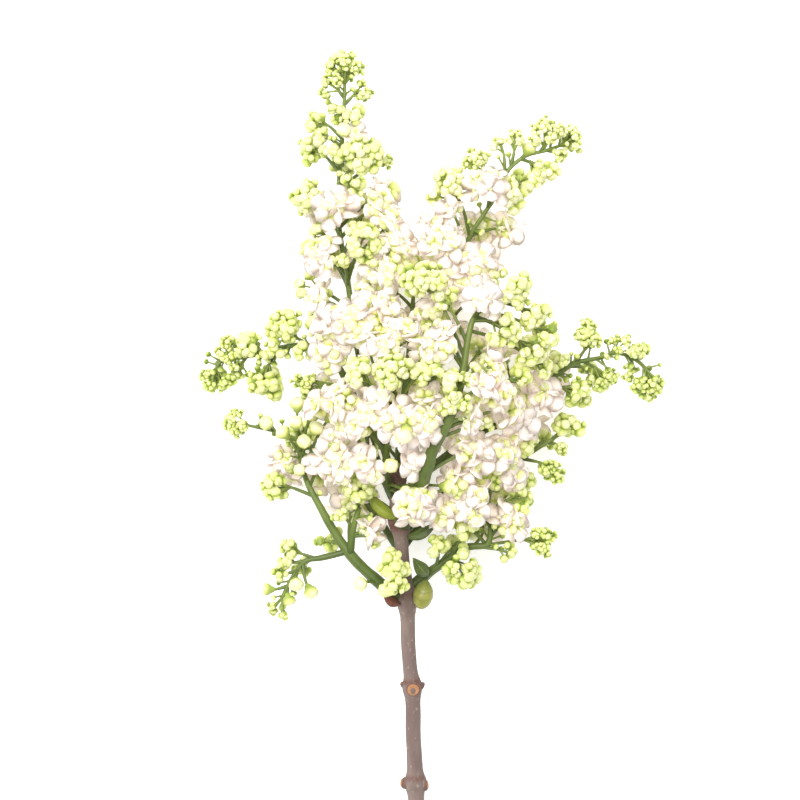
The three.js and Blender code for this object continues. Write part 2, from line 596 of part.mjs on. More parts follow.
// A panicle's axis, and the centre line of its straight stretches.
function axisOf({ line, baseRadius }) {
  const curve = curveThrough(line);
  const length = curve.getLength();
  const steps = Math.round(length / AXIS.stepLength);
  const radiusAt = (share) => baseRadius + (AXIS.endRadius - baseRadius) * share;
  const pointAt = (share) => {
    const ring = Math.min(steps - 1, Math.floor(share * steps));
    return curve.getPointAt(ring / steps).lerp(curve.getPointAt((ring + 1) / steps), share * steps - ring);
  };
  return { curve, length, pointAt, solid: solidOf(sweep(curve, radiusAt, AXIS.sides, steps)) };
}

// The side stalk leaves its axis below the tuft and arches out to the tuft's core.
function stalkTo(axis, centre, lean, coreDepth) {
  const samples = Array.from({ length: 81 }, (_, i) => ({ share: i / 80 }));
  for (const sample of samples) sample.distance = axis.pointAt(sample.share).distanceTo(centre);
  const nearest = samples.reduce((best, sample) => (sample.distance < best.distance ? sample : best));
  const run = Math.max(lean * nearest.distance, 2 * coreDepth + 2 - nearest.distance);
  const share = Math.max(STALK.lowest / axis.length, Math.min(0.985, nearest.share - run / axis.length));
  const start = axis.pointAt(share);
  const bend = start.clone().lerp(centre, 0.5);
  bend.addScaledVector(axis.curve.getTangentAt(share), STALK.arch * start.distanceTo(centre));
  const outward = centre.clone().sub(bend).normalize();
  const end = centre.clone().addScaledVector(outward, -coreDepth);
  return { curve: new THREE.QuadraticBezierCurve3(start, bend, end), outward };
}

const grown = []; // every solid so far, with the name of its node

function keep(name, solid, isAxis = false) {
  const { min, max } = solid.boundingBox();
  grown.push({ name, solid, isAxis, box: new THREE.Box3(vector(min), vector(max)) });
}

// True if a tuft keeps its distance from everything but the axes of its own panicle.
function isClear(name, solid) {
  const { min, max } = solid.boundingBox();
  const box = new THREE.Box3(vector(min), vector(max)).expandByScalar(CLEARANCE);
  return grown.every(
    (other) =>
      (other.name === name && other.isAxis) ||
      !other.box.intersectsBox(box) ||
      other.solid.minGap(solid, CLEARANCE) >= CLEARANCE,
  );
}

// Grows a tuft where there is room for it, near the place it is meant for.
function growTuft(name, axis, [x, y, z, size, stage], draw) {
  const spin = draw() * Math.PI;
  const plan = tuftPlan(size, stage, draw);
  const coreDepth = (plan.rings.length * plan.tierHeight) / 2;
  for (const [dx, dy, dz] of SHIFTS) {
    const centre = vector([x + dx, y + dy, z + dz]);
    for (const lean of STALK.leans[stage]) {
      const solid = tuft(stalkTo(axis, centre, lean, coreDepth), plan, spin);
      if (isClear(name, solid)) {
        keep(name, solid);
        return;
      }
    }
  }
}

keep("woody_stem", woodyStem());
for (const mark of SCARS) keep("woody_stem", scar(mark));
for (const [name, shape] of Object.entries(BLADES)) keep(name, blade(shape));
keep("bud_shoot", shootBud());

const draw = seeded(SEED);
const stemRoom = woodyStem(1.6 * CLEARANCE);
const axes = [];
for (const [name, branches] of Object.entries(PANICLES)) {
  for (const branch of branches) {
    const axis = axisOf(branch);
    keep(name, axis.solid.subtract(stemRoom), true);
    axes.push({ name, axis, tufts: branch.tufts });
  }
}
for (const { name, axis, tufts } of axes) {
  for (const place of tufts) growTuft(name, axis, place, draw);
}

const finishOf = { woody_stem: "bark", bud_shoot: "bract" };
for (const [name, { colour }] of Object.entries(BLADES)) finishOf[name] = colour;

const table = solidOf(new THREE.BoxGeometry(...TABLE.size).translate(0, 0, -TABLE.size[2] / 2));
const cut = solidOf(placed(new THREE.BoxGeometry(...CUT.size), CUT.at, CUT.facing));
const lilac = new THREE.Group();
for (const name of new Set(grown.map((one) => one.name))) {
  const pieces = grown.filter((one) => one.name === name).map((one) => one.solid);
  let whole = wasm.Manifold.union(pieces).subtract(table); // low flowers rest flat on the table
  if (name === "woody_stem") whole = whole.subtract(cut);
  lilac.add(meshOf(name, whole.translate(CENTRING), FINISHES[finishOf[name] ?? "blossom"]));
}

export default lilac;
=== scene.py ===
import json
import math
import random

import bmesh
import bpy
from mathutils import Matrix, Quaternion, Vector, noise

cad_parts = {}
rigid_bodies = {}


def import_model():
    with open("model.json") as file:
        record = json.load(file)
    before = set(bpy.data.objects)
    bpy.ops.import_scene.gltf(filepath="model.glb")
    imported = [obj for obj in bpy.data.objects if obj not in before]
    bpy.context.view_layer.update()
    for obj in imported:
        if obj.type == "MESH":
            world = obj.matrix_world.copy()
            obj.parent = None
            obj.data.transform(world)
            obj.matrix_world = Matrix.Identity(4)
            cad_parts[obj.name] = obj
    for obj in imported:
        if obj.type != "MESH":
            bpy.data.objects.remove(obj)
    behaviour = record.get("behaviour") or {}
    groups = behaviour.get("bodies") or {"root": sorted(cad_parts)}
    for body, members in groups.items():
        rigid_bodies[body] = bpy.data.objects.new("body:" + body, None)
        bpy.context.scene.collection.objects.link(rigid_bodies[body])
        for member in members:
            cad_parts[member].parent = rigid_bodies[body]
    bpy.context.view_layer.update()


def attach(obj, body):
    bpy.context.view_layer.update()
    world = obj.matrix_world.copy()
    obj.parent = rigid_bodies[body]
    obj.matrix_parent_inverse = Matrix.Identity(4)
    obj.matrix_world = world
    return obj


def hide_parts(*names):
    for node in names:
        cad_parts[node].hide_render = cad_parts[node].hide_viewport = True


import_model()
print("lilac: frame loaded")

centring = Vector((3.8, -4.6, 0))  # millimetres, from the points listed below to the frame
zAxis = Vector((0, 0, 1))
goldenAngle = math.pi * (3 - math.sqrt(5))


def place(point):
    return (Vector(point) + centring) * 0.001


# a Wire is a socket that can be added and multiplied; every other node comes from Graph.add
class Wire:
    def __init__(self, graph, socket):
        self.graph = graph
        self.socket = socket

    def maths(self, operation, other):
        return self.graph.add("ShaderNodeMath", {0: self, 1: other}, operation=operation)

    def __add__(self, other):
        return self.maths("ADD", other)

    def __mul__(self, other):
        return self.maths("MULTIPLY", other)

    __radd__ = __add__
    __rmul__ = __mul__


class Graph:
    def __init__(self, tree):
        self.tree = tree

    def add(self, kind, values=None, output=0, **settings):
        node = self.tree.nodes.new(kind)
        for key, value in settings.items():
            setattr(node, key, value)
        for key, value in (values or {}).items():
            for one in value if isinstance(value, list) else [value]:
                if isinstance(one, Wire):
                    self.tree.links.new(one.socket, node.inputs[key])
                else:
                    node.inputs[key].default_value = one
        return Wire(self, node.outputs[output])

    def attribute(self, name):
        return self.add("ShaderNodeAttribute", output="Fac", attribute_name=name)

    def between(self, value, low, high):  # 0 at low, 1 at high, smooth between
        ends = {"Value": value, "From Min": low, "From Max": high}
        return self.add("ShaderNodeMapRange", ends, interpolation_type="SMOOTHSTEP")

    def blend(self, factor, a, b):  # a and b are colours from 0 to 255, or wires
        a, b = [tone(*c) if isinstance(c, tuple) else c for c in (a, b)]
        return self.add("ShaderNodeMix", {0: factor, 6: a, 7: b}, output=2, data_type="RGBA")

    def cloud(self, size, stretch=(1, 1, 1), detail=3):  # noise on object coordinates, size in metres
        where = self.add("ShaderNodeTexCoord", output="Object")
        scale = tuple(s / size for s in stretch)
        where = self.add("ShaderNodeMapping", {"Vector": where, "Scale": scale})
        return self.add("ShaderNodeTexNoise", {"Vector": where, "Scale": 1.0, "Detail": detail}, "Fac")


def tone(red, green, blue):  # a screen colour as Blender takes it
    channels = [c / 255 for c in (red, green, blue)]
    return tuple(c / 12.92 if c <= 0.04045 else ((c + 0.055) / 1.055) ** 2.4 for c in channels) + (1.0,)


def setInputs(node, values):
    for key, value in values.items():
        node.inputs[key].default_value = value


def finish(name, paint, **surface):  # paint(graph) gives the colour, the bump's height and its depth
    material = bpy.data.materials.new(name)
    material.use_nodes = True
    graph = Graph(material.node_tree)
    shader = material.node_tree.nodes["Principled BSDF"]
    setInputs(shader, surface)
    colour, height, depth = paint(graph)
    bump = graph.add("ShaderNodeBump", {"Height": height, "Distance": depth, "Strength": 1.0})
    material.node_tree.links.new(colour.socket, shader.inputs["Base Color"])
    material.node_tree.links.new(bump.socket, shader.inputs["Normal"])
    return material


barkTones = {
    "dark": (113, 95, 88), "light": (133, 116, 108), "grain": (88, 73, 68), "pore": (172, 156, 144),
    "collar": (98, 60, 50), "scar": (176, 126, 86), "scarRim": (140, 90, 58),
    "pith": (214, 196, 160), "wood": (232, 220, 176),
}


def paintBark(graph):
    grain = graph.cloud(0.0016, (1, 0.12, 1), 4)
    patches = graph.cloud(0.012, (1, 0.35, 1))
    pores = graph.between(graph.cloud(0.0017, (1, 0.55, 1), 1), 0.63, 0.7)
    rim = graph.between(graph.cloud(0.0009, detail=2), 0.45, 0.7)
    scar = graph.attribute("scar")
    wood = graph.between(graph.attribute("pith"), 0.18, 0.26)
    wood = graph.blend(wood, barkTones["pith"], barkTones["wood"])
    colour = graph.blend(graph.between(patches, 0.35, 0.7), barkTones["dark"], barkTones["light"])
    colour = graph.blend(graph.between(grain, 0.5, 0.75) * 0.35, colour, barkTones["grain"])
    colour = graph.blend(pores * 0.4, colour, barkTones["pore"])
    colour = graph.blend(graph.attribute("collar"), colour, barkTones["collar"])
    colour = graph.blend(scar, colour, barkTones["scar"])
    colour = graph.blend(scar * rim * 0.5, colour, barkTones["scarRim"])
    colour = graph.blend(graph.attribute("cut"), colour, wood)
    return colour, grain + pores * 0.6, 0.0002


stalkTones = {"young": (158, 175, 84), "old": (68, 86, 32), "patch": (60, 79, 27)}


def paintStalk(graph):
    patches = graph.between(graph.cloud(0.006, (1, 0.4, 1), 2), 0.4, 0.75)
    colour = graph.blend(graph.attribute("age"), stalkTones["young"], stalkTones["old"])
    colour = graph.blend(patches * 0.4, colour, stalkTones["patch"])
    return colour, graph.cloud(0.0008, (1, 0.15, 1), 2), 0.00005


budTones = {  # of a tight bud and of one about to open
    # low, middle and top run from a bud's foot to its tip: the buds' own green and cream, with painted
    # shade in the low green and a painted highlight in the pale top
    "low": ((94, 120, 32), (166, 182, 90)),
    "middle": ((172, 189, 70), (225, 223, 140)),
    "top": ((222, 226, 156), (239, 236, 204)),
    "seam": (170, 186, 86),
    # glow: colour of the buds' painted glow, which lifts the shade between them
    "glow": (206, 214, 120),
}


def paintBud(graph):
    age, up, tint = [graph.attribute(name) for name in ("age", "up", "tint")]
    low, middle, top = [graph.blend(age, *budTones[part]) for part in ("low", "middle", "top")]
    # painted shade and highlight: the foot stays dark green like the shade between buds and the tip pales
    # to cream like a highlight, on top of the buds' own green-to-cream
    colour = graph.blend(graph.between(up + 0.16 * tint, 0.38, 0.84), low, middle)
    colour = graph.blend(graph.between(up + 0.2 * tint, 0.7, 1.04), colour, top)
    colour = graph.blend(graph.attribute("seam") * 0.25, colour, budTones["seam"])
    return colour, graph.cloud(0.0006, detail=2), 0.00004


petalTones = {
    "light": (243, 233, 227), "dark": (236, 221, 211), "patch": (228, 210, 197),
    # glow: colour of the petals' painted glow, which lifts their shade
    "throat": (240, 236, 206), "tube": (132, 152, 70), "glow": (255, 236, 214),
}


def paintPetal(graph):
    up = graph.attribute("up")
    patches = graph.between(graph.cloud(0.004, detail=2), 0.45, 0.8)
    colour = graph.blend(graph.attribute("tint"), petalTones["light"], petalTones["dark"])
    colour = graph.blend(patches * 0.4, colour, petalTones["patch"])
    colour = graph.blend(graph.between(up, 0.56, 0.4), colour, petalTones["throat"])
    colour = graph.blend(graph.between(up, 0.3, 0.1), colour, petalTones["tube"])
    return colour, graph.cloud(0.0012, (1, 1, 0.4), 2), 0.00005


leafTones = {"bract": (142, 153, 50), "leaf": (78, 94, 44), "patch": (102, 118, 48), "vein": (150, 166, 90)}


def paintLeaf(graph):
    vein = graph.between(graph.attribute("across"), 0.12, 0.02)
    patches = graph.cloud(0.003)
    colour = graph.blend(graph.attribute("age"), leafTones["bract"], leafTones["leaf"])
    colour = graph.blend(graph.between(patches, 0.4, 0.75) * 0.4, colour, leafTones["patch"])
    colour = graph.blend(vein * 0.4, colour, leafTones["vein"])
    return colour, patches + vein, 0.00015


scaleTones = {"light": (128, 70, 54), "dark": (96, 64, 50)}


def paintScale(graph):
    patches = graph.cloud(0.0015, (1, 0.3, 1))
    colour = graph.blend(graph.between(patches, 0.3, 0.7), scaleTones["light"], scaleTones["dark"])
    return colour, patches, 0.00012


shootTones = {"light": (156, 153, 72), "dark": (134, 136, 60), "top": (98, 110, 50), "edge": (104, 106, 46)}


def paintShootBud(graph):
    patches = graph.between(graph.cloud(0.004, (1, 0.6, 1), 2), 0.35, 0.7)
    high = graph.between(graph.attribute("high"), 0.35, 1.0)
    colour = graph.blend(patches, shootTones["light"], shootTones["dark"])
    colour = graph.blend(high * 0.85, colour, shootTones["top"])
    colour = graph.blend(graph.attribute("edge") * 0.6, colour, shootTones["edge"])
    return colour, graph.cloud(0.0012, (1, 0.3, 1), 2), 0.00008


# daylight shines through thin petals and buds a little, and the emissions below add a painted glow that
# lifts the shade in buds and petals
soft = {"Subsurface Weight": 0.3, "Subsurface Radius": (1.0, 1.0, 0.6), "Subsurface Scale": 0.001}
budPaintedGlow = {"Emission Color": tone(*budTones["glow"]), "Emission Strength": 0.08}
petalPaintedGlow = {"Emission Color": tone(*petalTones["glow"]), "Emission Strength": 0.16}
bark = finish("barkGreyBrown", paintBark, Roughness=0.8)
stalkGreen = finish("stalkGreen", paintStalk, Roughness=0.5, **soft)
budSkin = finish("budSkin", paintBud, Roughness=0.45, **soft, **budPaintedGlow)
petalIvory = finish("petalIvory", paintPetal, Roughness=0.65, **petalPaintedGlow)
leafGreen = finish("leafGreen", paintLeaf, Roughness=0.45, **soft)
scaleBrown = finish("scaleBrown", paintScale, Roughness=0.7)
shootOlive = finish("shootOlive", paintShootBud, Roughness=0.4, **soft)
print("lilac: finishes made")


def pathThrough(points, count):  # a smooth path in even steps, its directions and its length
    points = [Vector(p) for p in points]
    points = [2 * points[0] - points[1]] + points + [2 * points[-1] - points[-2]]
    fine = []
    for a, b, c, d in zip(points, points[1:], points[2:], points[3:]):
        ta, tb, tc = [max((q - p).length ** 0.5, 1e-6) for p, q in ((a, b), (b, c), (c, d))]
        leave = ((b - a) / ta - (c - a) / (ta + tb) + (c - b) / tb) * tb
        arrive = ((c - b) / tb - (d - b) / (tb + tc) + (d - c) / tc) * tb
        square, cube = 3 * (c - b) - 2 * leave - arrive, 2 * (b - c) + leave + arrive
        fine += [b + leave * t + square * t**2 + cube * t**3 for t in [k / 40 for k in range(40)]]
    fine.append(points[-2])
    run = [0.0]
    for p, q in zip(fine, fine[1:]):
        run.append(run[-1] + (q - p).length)
    path, k = [], 0
    for step in range(count + 1):
        want = run[-1] * step / count
        while k < len(run) - 2 and run[k + 1] < want:
            k += 1
        t = (want - run[k]) / max(run[k + 1] - run[k], 1e-9)
        path.append(fine[k].lerp(fine[k + 1], min(1, t)))
    ways = [(path[min(i + 1, count)] - path[max(i - 1, 0)]).normalized() for i in range(count + 1)]
    return path, ways, run[-1]


def ringFaces(rings):  # the faces between closed rings of points
    for lower, upper in zip(rings, rings[1:]):
        for k in range(len(lower)):
            after = (k + 1) % len(lower)
            yield lower[k], lower[after], upper[after], upper[k]


def tubeFaces(rings, foot, top):  # closed at both ends by a single point
    faces = list(ringFaces(rings))
    for k in range(len(rings[0])):
        after = (k + 1) % len(rings[0])
        faces += [(rings[0][after], rings[0][k], foot), (rings[-1][k], rings[-1][after], top)]
    return faces


def meshFrom(name, points, faces, marks):
    mesh = bpy.data.meshes.new(name)
    mesh.from_pydata(points, [], faces)
    for key, values in marks.items():
        mesh.attributes.new(key, "FLOAT", "POINT").data.foreach_set("value", values)
    mesh.shade_smooth()
    mesh.update()
    return mesh


def closeMesh(mesh):  # merges the points of a seam and turns every face outwards
    shape = bmesh.new()
    shape.from_mesh(mesh)
    bmesh.ops.remove_doubles(shape, verts=shape.verts, dist=0.000004)
    bmesh.ops.recalc_face_normals(shape, faces=shape.faces)
    shape.to_mesh(mesh)
    shape.free()


def newPiece(name, mesh, slot, node, material=None):
    if material:
        mesh.materials.append(material)
    piece = bpy.data.objects.new(name, mesh)
    bpy.context.scene.collection.objects.link(piece)
    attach(piece, "root")
    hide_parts(node)


def turnedTo(direction):  # a rotation that takes +Z to a direction
    return Vector(direction).to_track_quat("Z", "Y")


# the flowers are drawn once at unit size and grow along +Z from the foot; their names keep them in order
budForms = {  # each ring is a height and a radius
    "aTightBud": {
        "rings": [(0.0, 0.2), (0.12, 0.42), (0.4, 0.62), (0.85, 0.98), (1.3, 0.94), (1.65, 0.6)],
        "sides": 8, "tip": 1.82, "pinch": 0.05,
    },
    "bPlumpBud": {
        "rings": [(0.0, 0.2), (0.14, 0.4), (0.5, 0.55), (1.0, 0.93), (1.5, 1.0), (1.9, 0.62)],
        "sides": 8, "tip": 1.95, "pinch": 0.08,
    },
}


def budMesh(name, form):
    points, up, seam, rings = [], [], [], []
    sides, tip = form["sides"], form["tip"]
    for height, radius in form["rings"]:
        rings.append(range(len(points), len(points) + sides))
        for k in range(sides):
            groove = k % 2 * min(1, max(0, height / tip - 0.35) * 2.5)
            angle = 2 * math.pi * k / sides
            reach = radius * (1 - form["pinch"] * groove)
            points.append((reach * math.cos(angle), reach * math.sin(angle), height))
            up.append(height / tip)
            seam.append(groove)
    points += [(0, 0, tip), (0, 0, -0.1)]
    up += [1.0, 0.0]
    seam += [0.6, 0.0]
    faces = tubeFaces(rings, len(points) - 1, len(points) - 2)
    return meshFrom(name, points, faces, {"up": up, "seam": seam, "petal": [0.0] * len(up)})


# lift: how far the lobes rise; curl: how their tips bend; cup: how their edges rise
floretForms = {
    "cFlatFloret": {"tube": 0.8, "lift": 0.1, "curl": -0.06, "cup": -0.1, "turn": 0.08},
    "dCuppedFloret": {"tube": 0.8, "lift": 0.3, "curl": 0.06, "cup": 0.08, "turn": -0.1},
    "eRecurvedFloret": {"tube": 0.8, "lift": 0.04, "curl": -0.16, "cup": -0.14, "turn": 0.04},
    "fHalfOpenFloret": {"tube": 0.75, "lift": 0.75, "curl": 0.1, "cup": -0.15, "turn": 0.2},
}
lobe = {
    "count": 4,
    "reach": [0.1, 0.38, 0.66, 0.88, 1.0],
    "halfWidth": [0.14, 0.41, 0.53, 0.46, 0.2],
    "thickness": 0.16,
    "point": 0.04,
    "dip": 0.02,
}
floretTube = {  # each ring is a share of the tube's length, a radius and how green it is
    "rings": [(0.0, 0.1, 0.0), (0.1, 0.15, 0.05), (0.24, 0.085, 0.25), (1.0, 0.13, 0.4)],
    "sides": 5,
    "throatDepth": 0.14,
}


def floretMesh(name, form):
    points, up, seam = [], [], []

    def point(x, y, z, share, fold=0.0):
        points.append((x, y, z))
        up.append(share)
        seam.append(fold)
        return len(points) - 1

    tube = form["tube"]
    sides = floretTube["sides"]
    circle = [(math.cos(2 * math.pi * k / sides), math.sin(2 * math.pi * k / sides)) for k in range(sides)]
    rings = []
    for share, radius, mark in floretTube["rings"]:
        rings.append([point(radius * x, radius * y, tube * share, mark) for x, y in circle])
    throat = point(0, 0, tube - floretTube["throatDepth"], 0.3)
    faces = tubeFaces(rings, point(0, 0, -0.05, 0.0), throat)
    last = len(lobe["reach"]) - 1
    for number in range(lobe["count"]):
        turn = 2 * math.pi / lobe["count"] * number
        along, aside = (math.cos(turn), math.sin(turn)), (-math.sin(turn), math.cos(turn))
        upper, lower = [], []
        for i, (reach, half) in enumerate(zip(lobe["reach"], lobe["halfWidth"])):
            share = (reach - lobe["reach"][0]) / (1 - lobe["reach"][0])
            rise = tube - lobe["dip"] + form["lift"] * share**1.1 + form["curl"] * share**2.6
            drawn = reach * (1 - 0.3 * form["lift"] * share)
            row = []
            for side in (-1, 0, 1):
                out = drawn + (lobe["point"] if side == 0 and i == last else 0)
                across = side * half + form["turn"] * share * 0.3
                z = rise + abs(side) * form["cup"] * half * 1.1 + side * form["turn"] * half * 0.5
                x, y = (out * along[n] + across * aside[n] for n in (0, 1))
                row.append(point(x, y, z, 0.45 + 0.55 * share, 0.5 if side == 0 else 0.0))
            upper.append(row)
            if 0 < i < last:
                x, y, z = points[row[1]]
                row = [row[0], point(x, y, z - lobe["thickness"], 0.45 + 0.55 * share), row[2]]
            lower.append(row)
        for i in range(last):
            for k in (0, 1):
                faces.append((upper[i][k], upper[i + 1][k], upper[i + 1][k + 1], upper[i][k + 1]))
                faces.append((lower[i][k + 1], lower[i + 1][k + 1], lower[i + 1][k], lower[i][k]))
    return meshFrom(name, points, faces, {"up": up, "seam": seam, "petal": [1.0] * len(up)})


flowerForms = bpy.data.collections.new("flowerForms")
for forms, draw in ((budForms, budMesh), (floretForms, floretMesh)):
    for name, form in forms.items():
        flowerForms.objects.link(bpy.data.objects.new(name, draw(name, form)))
print("lilac: flower forms drawn")


def growingTree():  # grows stalks along the edges of a mesh, and flowers on its single points
    tree = bpy.data.node_groups.new("growPanicle", "GeometryNodeTree")
    face = tree.interface
    for way in ("INPUT", "OUTPUT"):
        face.new_socket("Geometry", in_out=way, socket_type="NodeSocketGeometry")
    sizes = {
        "Flower forms": "NodeSocketCollection",
        "Stalk sides": "NodeSocketInt",
        "Thin stalk sides": "NodeSocketInt",
        "Seed": "NodeSocketInt",
        "Flower size": "NodeSocketFloat",
    }
    sockets = {}
    for name, kind in sizes.items():
        sockets[name] = face.new_socket(name, in_out="INPUT", socket_type=kind).identifier
    graph = Graph(tree)
    given = tree.nodes.new("NodeGroupInput")
    wire = {name: Wire(graph, given.outputs[name]) for name in ["Geometry", *sockets]}

    def add(kind, values, output=0, **settings):
        return graph.add("GeometryNode" + kind, values, output, **settings)

    def named(name, kind="FLOAT"):
        return add("InputNamedAttribute", {"Name": name}, data_type=kind)

    def compare(name, operation, limit):
        return graph.add("FunctionNodeCompare", {0: named(name), 1: limit}, operation=operation)

    edges = add("MeshToCurve", {"Mesh": wire["Geometry"]})
    edges = add("SetCurveRadius", {"Curve": edges, "Radius": named("girth")})
    tubes = []
    for output, sides in enumerate(("Stalk sides", "Thin stalk sides")):
        chosen = {"Geometry": edges, "Selection": named("thick")}
        path = add("SeparateGeometry", chosen, output, domain="CURVE")
        profile = add("CurvePrimitiveCircle", {"Resolution": wire[sides], "Radius": 1.0})
        sweep = {"Curve": path, "Profile Curve": profile, "Scale": named("girth"), "Fill Caps": True}
        tubes.append(add("CurveToMesh", sweep))
    stalks = add("JoinGeometry", {"Geometry": tubes})
    stalks = add("SetMaterial", {"Geometry": stalks, "Material": stalkGreen})

    children = {"Separate Children": True, "Reset Children": True}
    forms = add("CollectionInfo", {"Collection": wire["Flower forms"], **children})
    spin = graph.add("FunctionNodeRandomValue", {2: 0.0, 3: 2 * math.pi, "Seed": wire["Seed"]}, 1)
    spin = graph.add("FunctionNodeAxisAngleToRotation", {"Axis": (0, 0, 1), "Angle": spin})
    facing = {"Vector": named("facing", "FLOAT_VECTOR")}
    facing = graph.add("FunctionNodeAlignRotationToVector", facing, axis="Z")
    facing = {"Rotation": facing, "Rotate By": spin}
    flowers = {
        "Points": wire["Geometry"],
        "Selection": compare("form", "GREATER_EQUAL", 0.0),
        "Instance": forms,
        "Pick Instance": True,
        "Instance Index": named("form"),
        "Rotation": graph.add("FunctionNodeRotateRotation", facing, rotation_space="LOCAL"),
        "Scale": named("girth") * wire["Flower size"],
    }
    flowers = add("InstanceOnPoints", flowers)
    flowers = add("RealizeInstances", {"Geometry": flowers})
    flowers = add("SetMaterial", {"Geometry": flowers, "Material": budSkin})
    petals = {"Geometry": flowers, "Selection": compare("petal", "GREATER_THAN", 0.5)}
    flowers = add("SetMaterial", {"Material": petalIvory, **petals})
    whole = add("JoinGeometry", {"Geometry": [flowers, stalks]})
    whole = add("SetShadeSmooth", {"Geometry": whole})
    end = tree.nodes.new("NodeGroupOutput")
    tree.links.new(whole.socket, end.inputs[0])
    return tree, sockets


growTree, growSockets = growingTree()
growSettings = {
    "Flower forms": flowerForms, "Stalk sides": 12, "Thin stalk sides": 6, "Seed": 3, "Flower size": 1.0,
}

